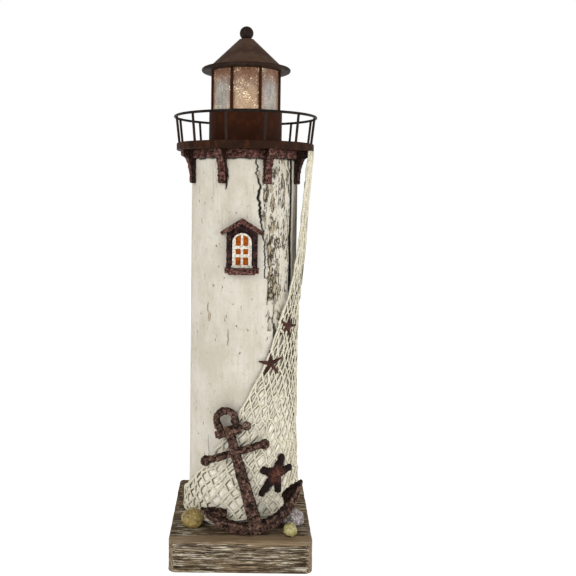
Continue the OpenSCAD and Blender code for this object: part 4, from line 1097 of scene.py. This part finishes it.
def build_net():
    rng = np.random.default_rng(7)
    verts, faces, shade = [], [], []

    def add_cord(line, width, taper=None):
        part = tube(line, width, CORD_SIDES, taper)
        shade.extend(np.clip(shade_of(part[0], line) + rng.uniform(-0.12, 0.2), 0, 1))
        add_part(verts, faces, part)

    for line in net_strands():
        share = (NET_TOP - line[0][2]) / (NET_TOP - BASE_H)
        width = np.interp(share, [0, 0.4, 0.6, 1], [0.8, 0.85, 1.0, 1.12]) * (1 + 0.09 * rng.normal())
        add_cord(line, width)
    ball = bmesh.new()
    bmesh.ops.create_icosphere(ball, subdivisions=1, radius=1.4)
    ball_verts = [np.array(w.co) for w in ball.verts]
    ball_faces = [tuple(w.index for w in f.verts) for f in ball.faces]
    ball.free()
    for p in net_knots().values():
        size = (1 + 0.14 * rng.normal()) * np.array([1.0, 1.0, 1.3])
        add_part(verts, faces, ([p + w * size for w in ball_verts], ball_faces))
        shade.extend([0.25] * len(ball_verts))
    # Edge cords along both sides and the hem, and the gathered strands at the top
    for u in (0.0, 1.0):
        line = [net_point(u, t, 0.7 + net_fold(u, t)) for t in np.linspace(0, 1, 110)]
        wave = np.array([[0.35 * math.sin(k * 0.9 + u), 0.35 * math.cos(k * 0.7), 0] for k in range(110)])
        add_cord(list(np.array(line) + wave), 1.0)
    line = []
    for u in np.linspace(0, 1, 110):
        line.append(net_point(u, 1.0, 0.6 + net_fold(u, 1.0)) + np.array([0, 0, 0.7 * math.sin(40 * u)]))
    add_cord(line, 1.0)
    for k in range(22):
        u = (k + 0.5) / 22
        end = 0.3 + 0.14 * ((k * 5) % 7) / 7
        line = []
        for t in np.linspace(0, end, 36):
            sway = 0.045 * math.sin(7 * t * (k % 5 + 2) + 1.7 * k)
            line.append(net_point(min(1, max(0, u + sway)), t, 0.5 + 2.6 * ((k * 7) % 5) / 5))
        add_cord(line, 0.8, np.interp(np.linspace(0, 1, 36), [0, 0.85, 1], [1, 1, 0.3]))
    # The foot of the net is filled in behind its cords
    start, first = len(verts), len(faces)
    nu, nv = 300, 190
    top_share = 0.6
    layers = []
    for out in (-0.75, -0.2):
        for t in np.linspace(top_share, 1.0, nv):
            settle = min(1.0, (t - top_share) / 0.08)
            for u in np.linspace(0, 1, nu):
                layers.append(net_point(u, t, -0.75 + (out + 0.75) * settle + net_fold(u, t) * settle))
    verts.extend(layers)
    back = [tuple(k + start for k in f) for f in grid_faces(nv, nu)]
    front = [tuple(k + nu * nv for k in f)[::-1] for f in back]
    faces.extend(back + front)
    rim = [j * nu for j in range(nv)] + [(nv - 1) * nu + i for i in range(1, nu)]
    rim += [j * nu + nu - 1 for j in range(nv - 2, -1, -1)] + [i for i in range(nu - 2, 0, -1)]
    for m, k in enumerate(rim):
        n = rim[(m + 1) % len(rim)]
        faces.append((start + k, start + n, start + n + nu * nv, start + k + nu * nv))
    shade.extend([0.2] * len(layers))
    o = make_mesh("net_cords", verts, faces, CORD)
    o.data.materials.append(BACKING)
    which = np.zeros(len(o.data.polygons), np.int32)
    which[first:] = 1
    o.data.polygons.foreach_set("material_index", which)
    put_attribute(o, "shade", shade)
    skin = np.array(layers)
    # Painted shadow of the cords on the ground behind them
    darkening = near_cords(np.degrees(np.arctan2(skin[:, 0], -skin[:, 1])), skin[:, 2])
    darkening *= 0.85 * np.clip(0.75 + 0.9 * fbm(skin / 6.0, 2, 41), 0.1, 1)
    put_attribute(o, "painted_net_shade", np.concatenate([np.zeros(start), darkening]))
    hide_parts("fishing_net")
    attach(o, BODY)
    return o


NET = build_net()
build_tower()


# Stage, lights and camera
def build_stage():
    s = Shader("pale_floor", roughness=0.9, specular=0.1)
    n = s.noise(60, 2, 0.5)
    s.color(s.over((0.6, 0.6, 0.6, 1), (0.56, 0.56, 0.56, 1), n, 0.3, 0.7))
    s.glow((1, 1, 1, 1), 0.8)
    # Clear from below, so that the part's underside can be looked at
    below, clear = s.node("NewGeometry").outputs["Backfacing"], s.node("BsdfTransparent").outputs[0]
    put(s.out.inputs["Surface"], s.node("MixShader", below, s.bsdf.outputs[0], clear).outputs[0])
    mesh = bpy.data.meshes.new("floor")
    w, z = 6.0, -0.0002
    mesh.from_pydata([(-w, -w, z), (w, -w, z), (w, w, z), (-w, w, z)], [], [(0, 1, 2, 3)])
    mesh.materials.append(s.material)
    floor = add_object("floor", mesh)


def area_light(name, place, target, size, power):
    light = bpy.data.lights.new(name, "AREA")
    light.shape = "DISK"
    light.size = size
    light.energy = power
    o = add_object(name, light)
    o.location = place
    o.rotation_euler = (Vector(target) - Vector(place)).to_track_quat("-Z", "Y").to_euler()


def build_light():
    world = bpy.data.worlds.new("studio")
    scene.world = world
    world.use_nodes = True
    t = world.node_tree
    t.nodes.clear()
    # A softly lit world that the camera sees as white
    lit = add_node(t, "Background", (1, 1, 1, 1), 0.46)
    seen = add_node(t, "Background", (1, 1, 1, 1), 1.0)
    by_camera = add_node(t, "LightPath").outputs["Is Camera Ray"]
    pick = add_node(t, "MixShader", by_camera, lit.outputs[0], seen.outputs[0])
    add_node(t, "OutputWorld", pick.outputs[0])
    area_light("key", (-0.9, -1.5, 1.15), (0, 0, 0.22), 0.9, 11)
    area_light("fill", (1.2, -1.3, 0.7), (0, 0, 0.22), 1.1, 3.9)
    area_light("side", (1.45, -0.35, 0.4), (0, 0, 0.25), 0.8, 4.4)


def build_camera():
    picture = 576
    cam = bpy.data.cameras.new("camera")
    cam.lens = 41.27
    cam.sensor_width = 36.0
    cam.shift_x = 43.2 / picture
    cam.shift_y = -79.0 / picture
    o = add_object("camera", cam)
    pitch, roll = math.radians(-2.1), math.radians(-0.7)
    o.location = (0, -0.653, 0.3476)
    o.rotation_euler = Euler((math.radians(90) + pitch, roll, 0), "XYZ")
    cam.clip_start = 0.01
    cam.clip_end = 50
    scene.camera = o


build_stage()
build_light()
build_camera()
scene.view_settings.view_transform = "Standard"
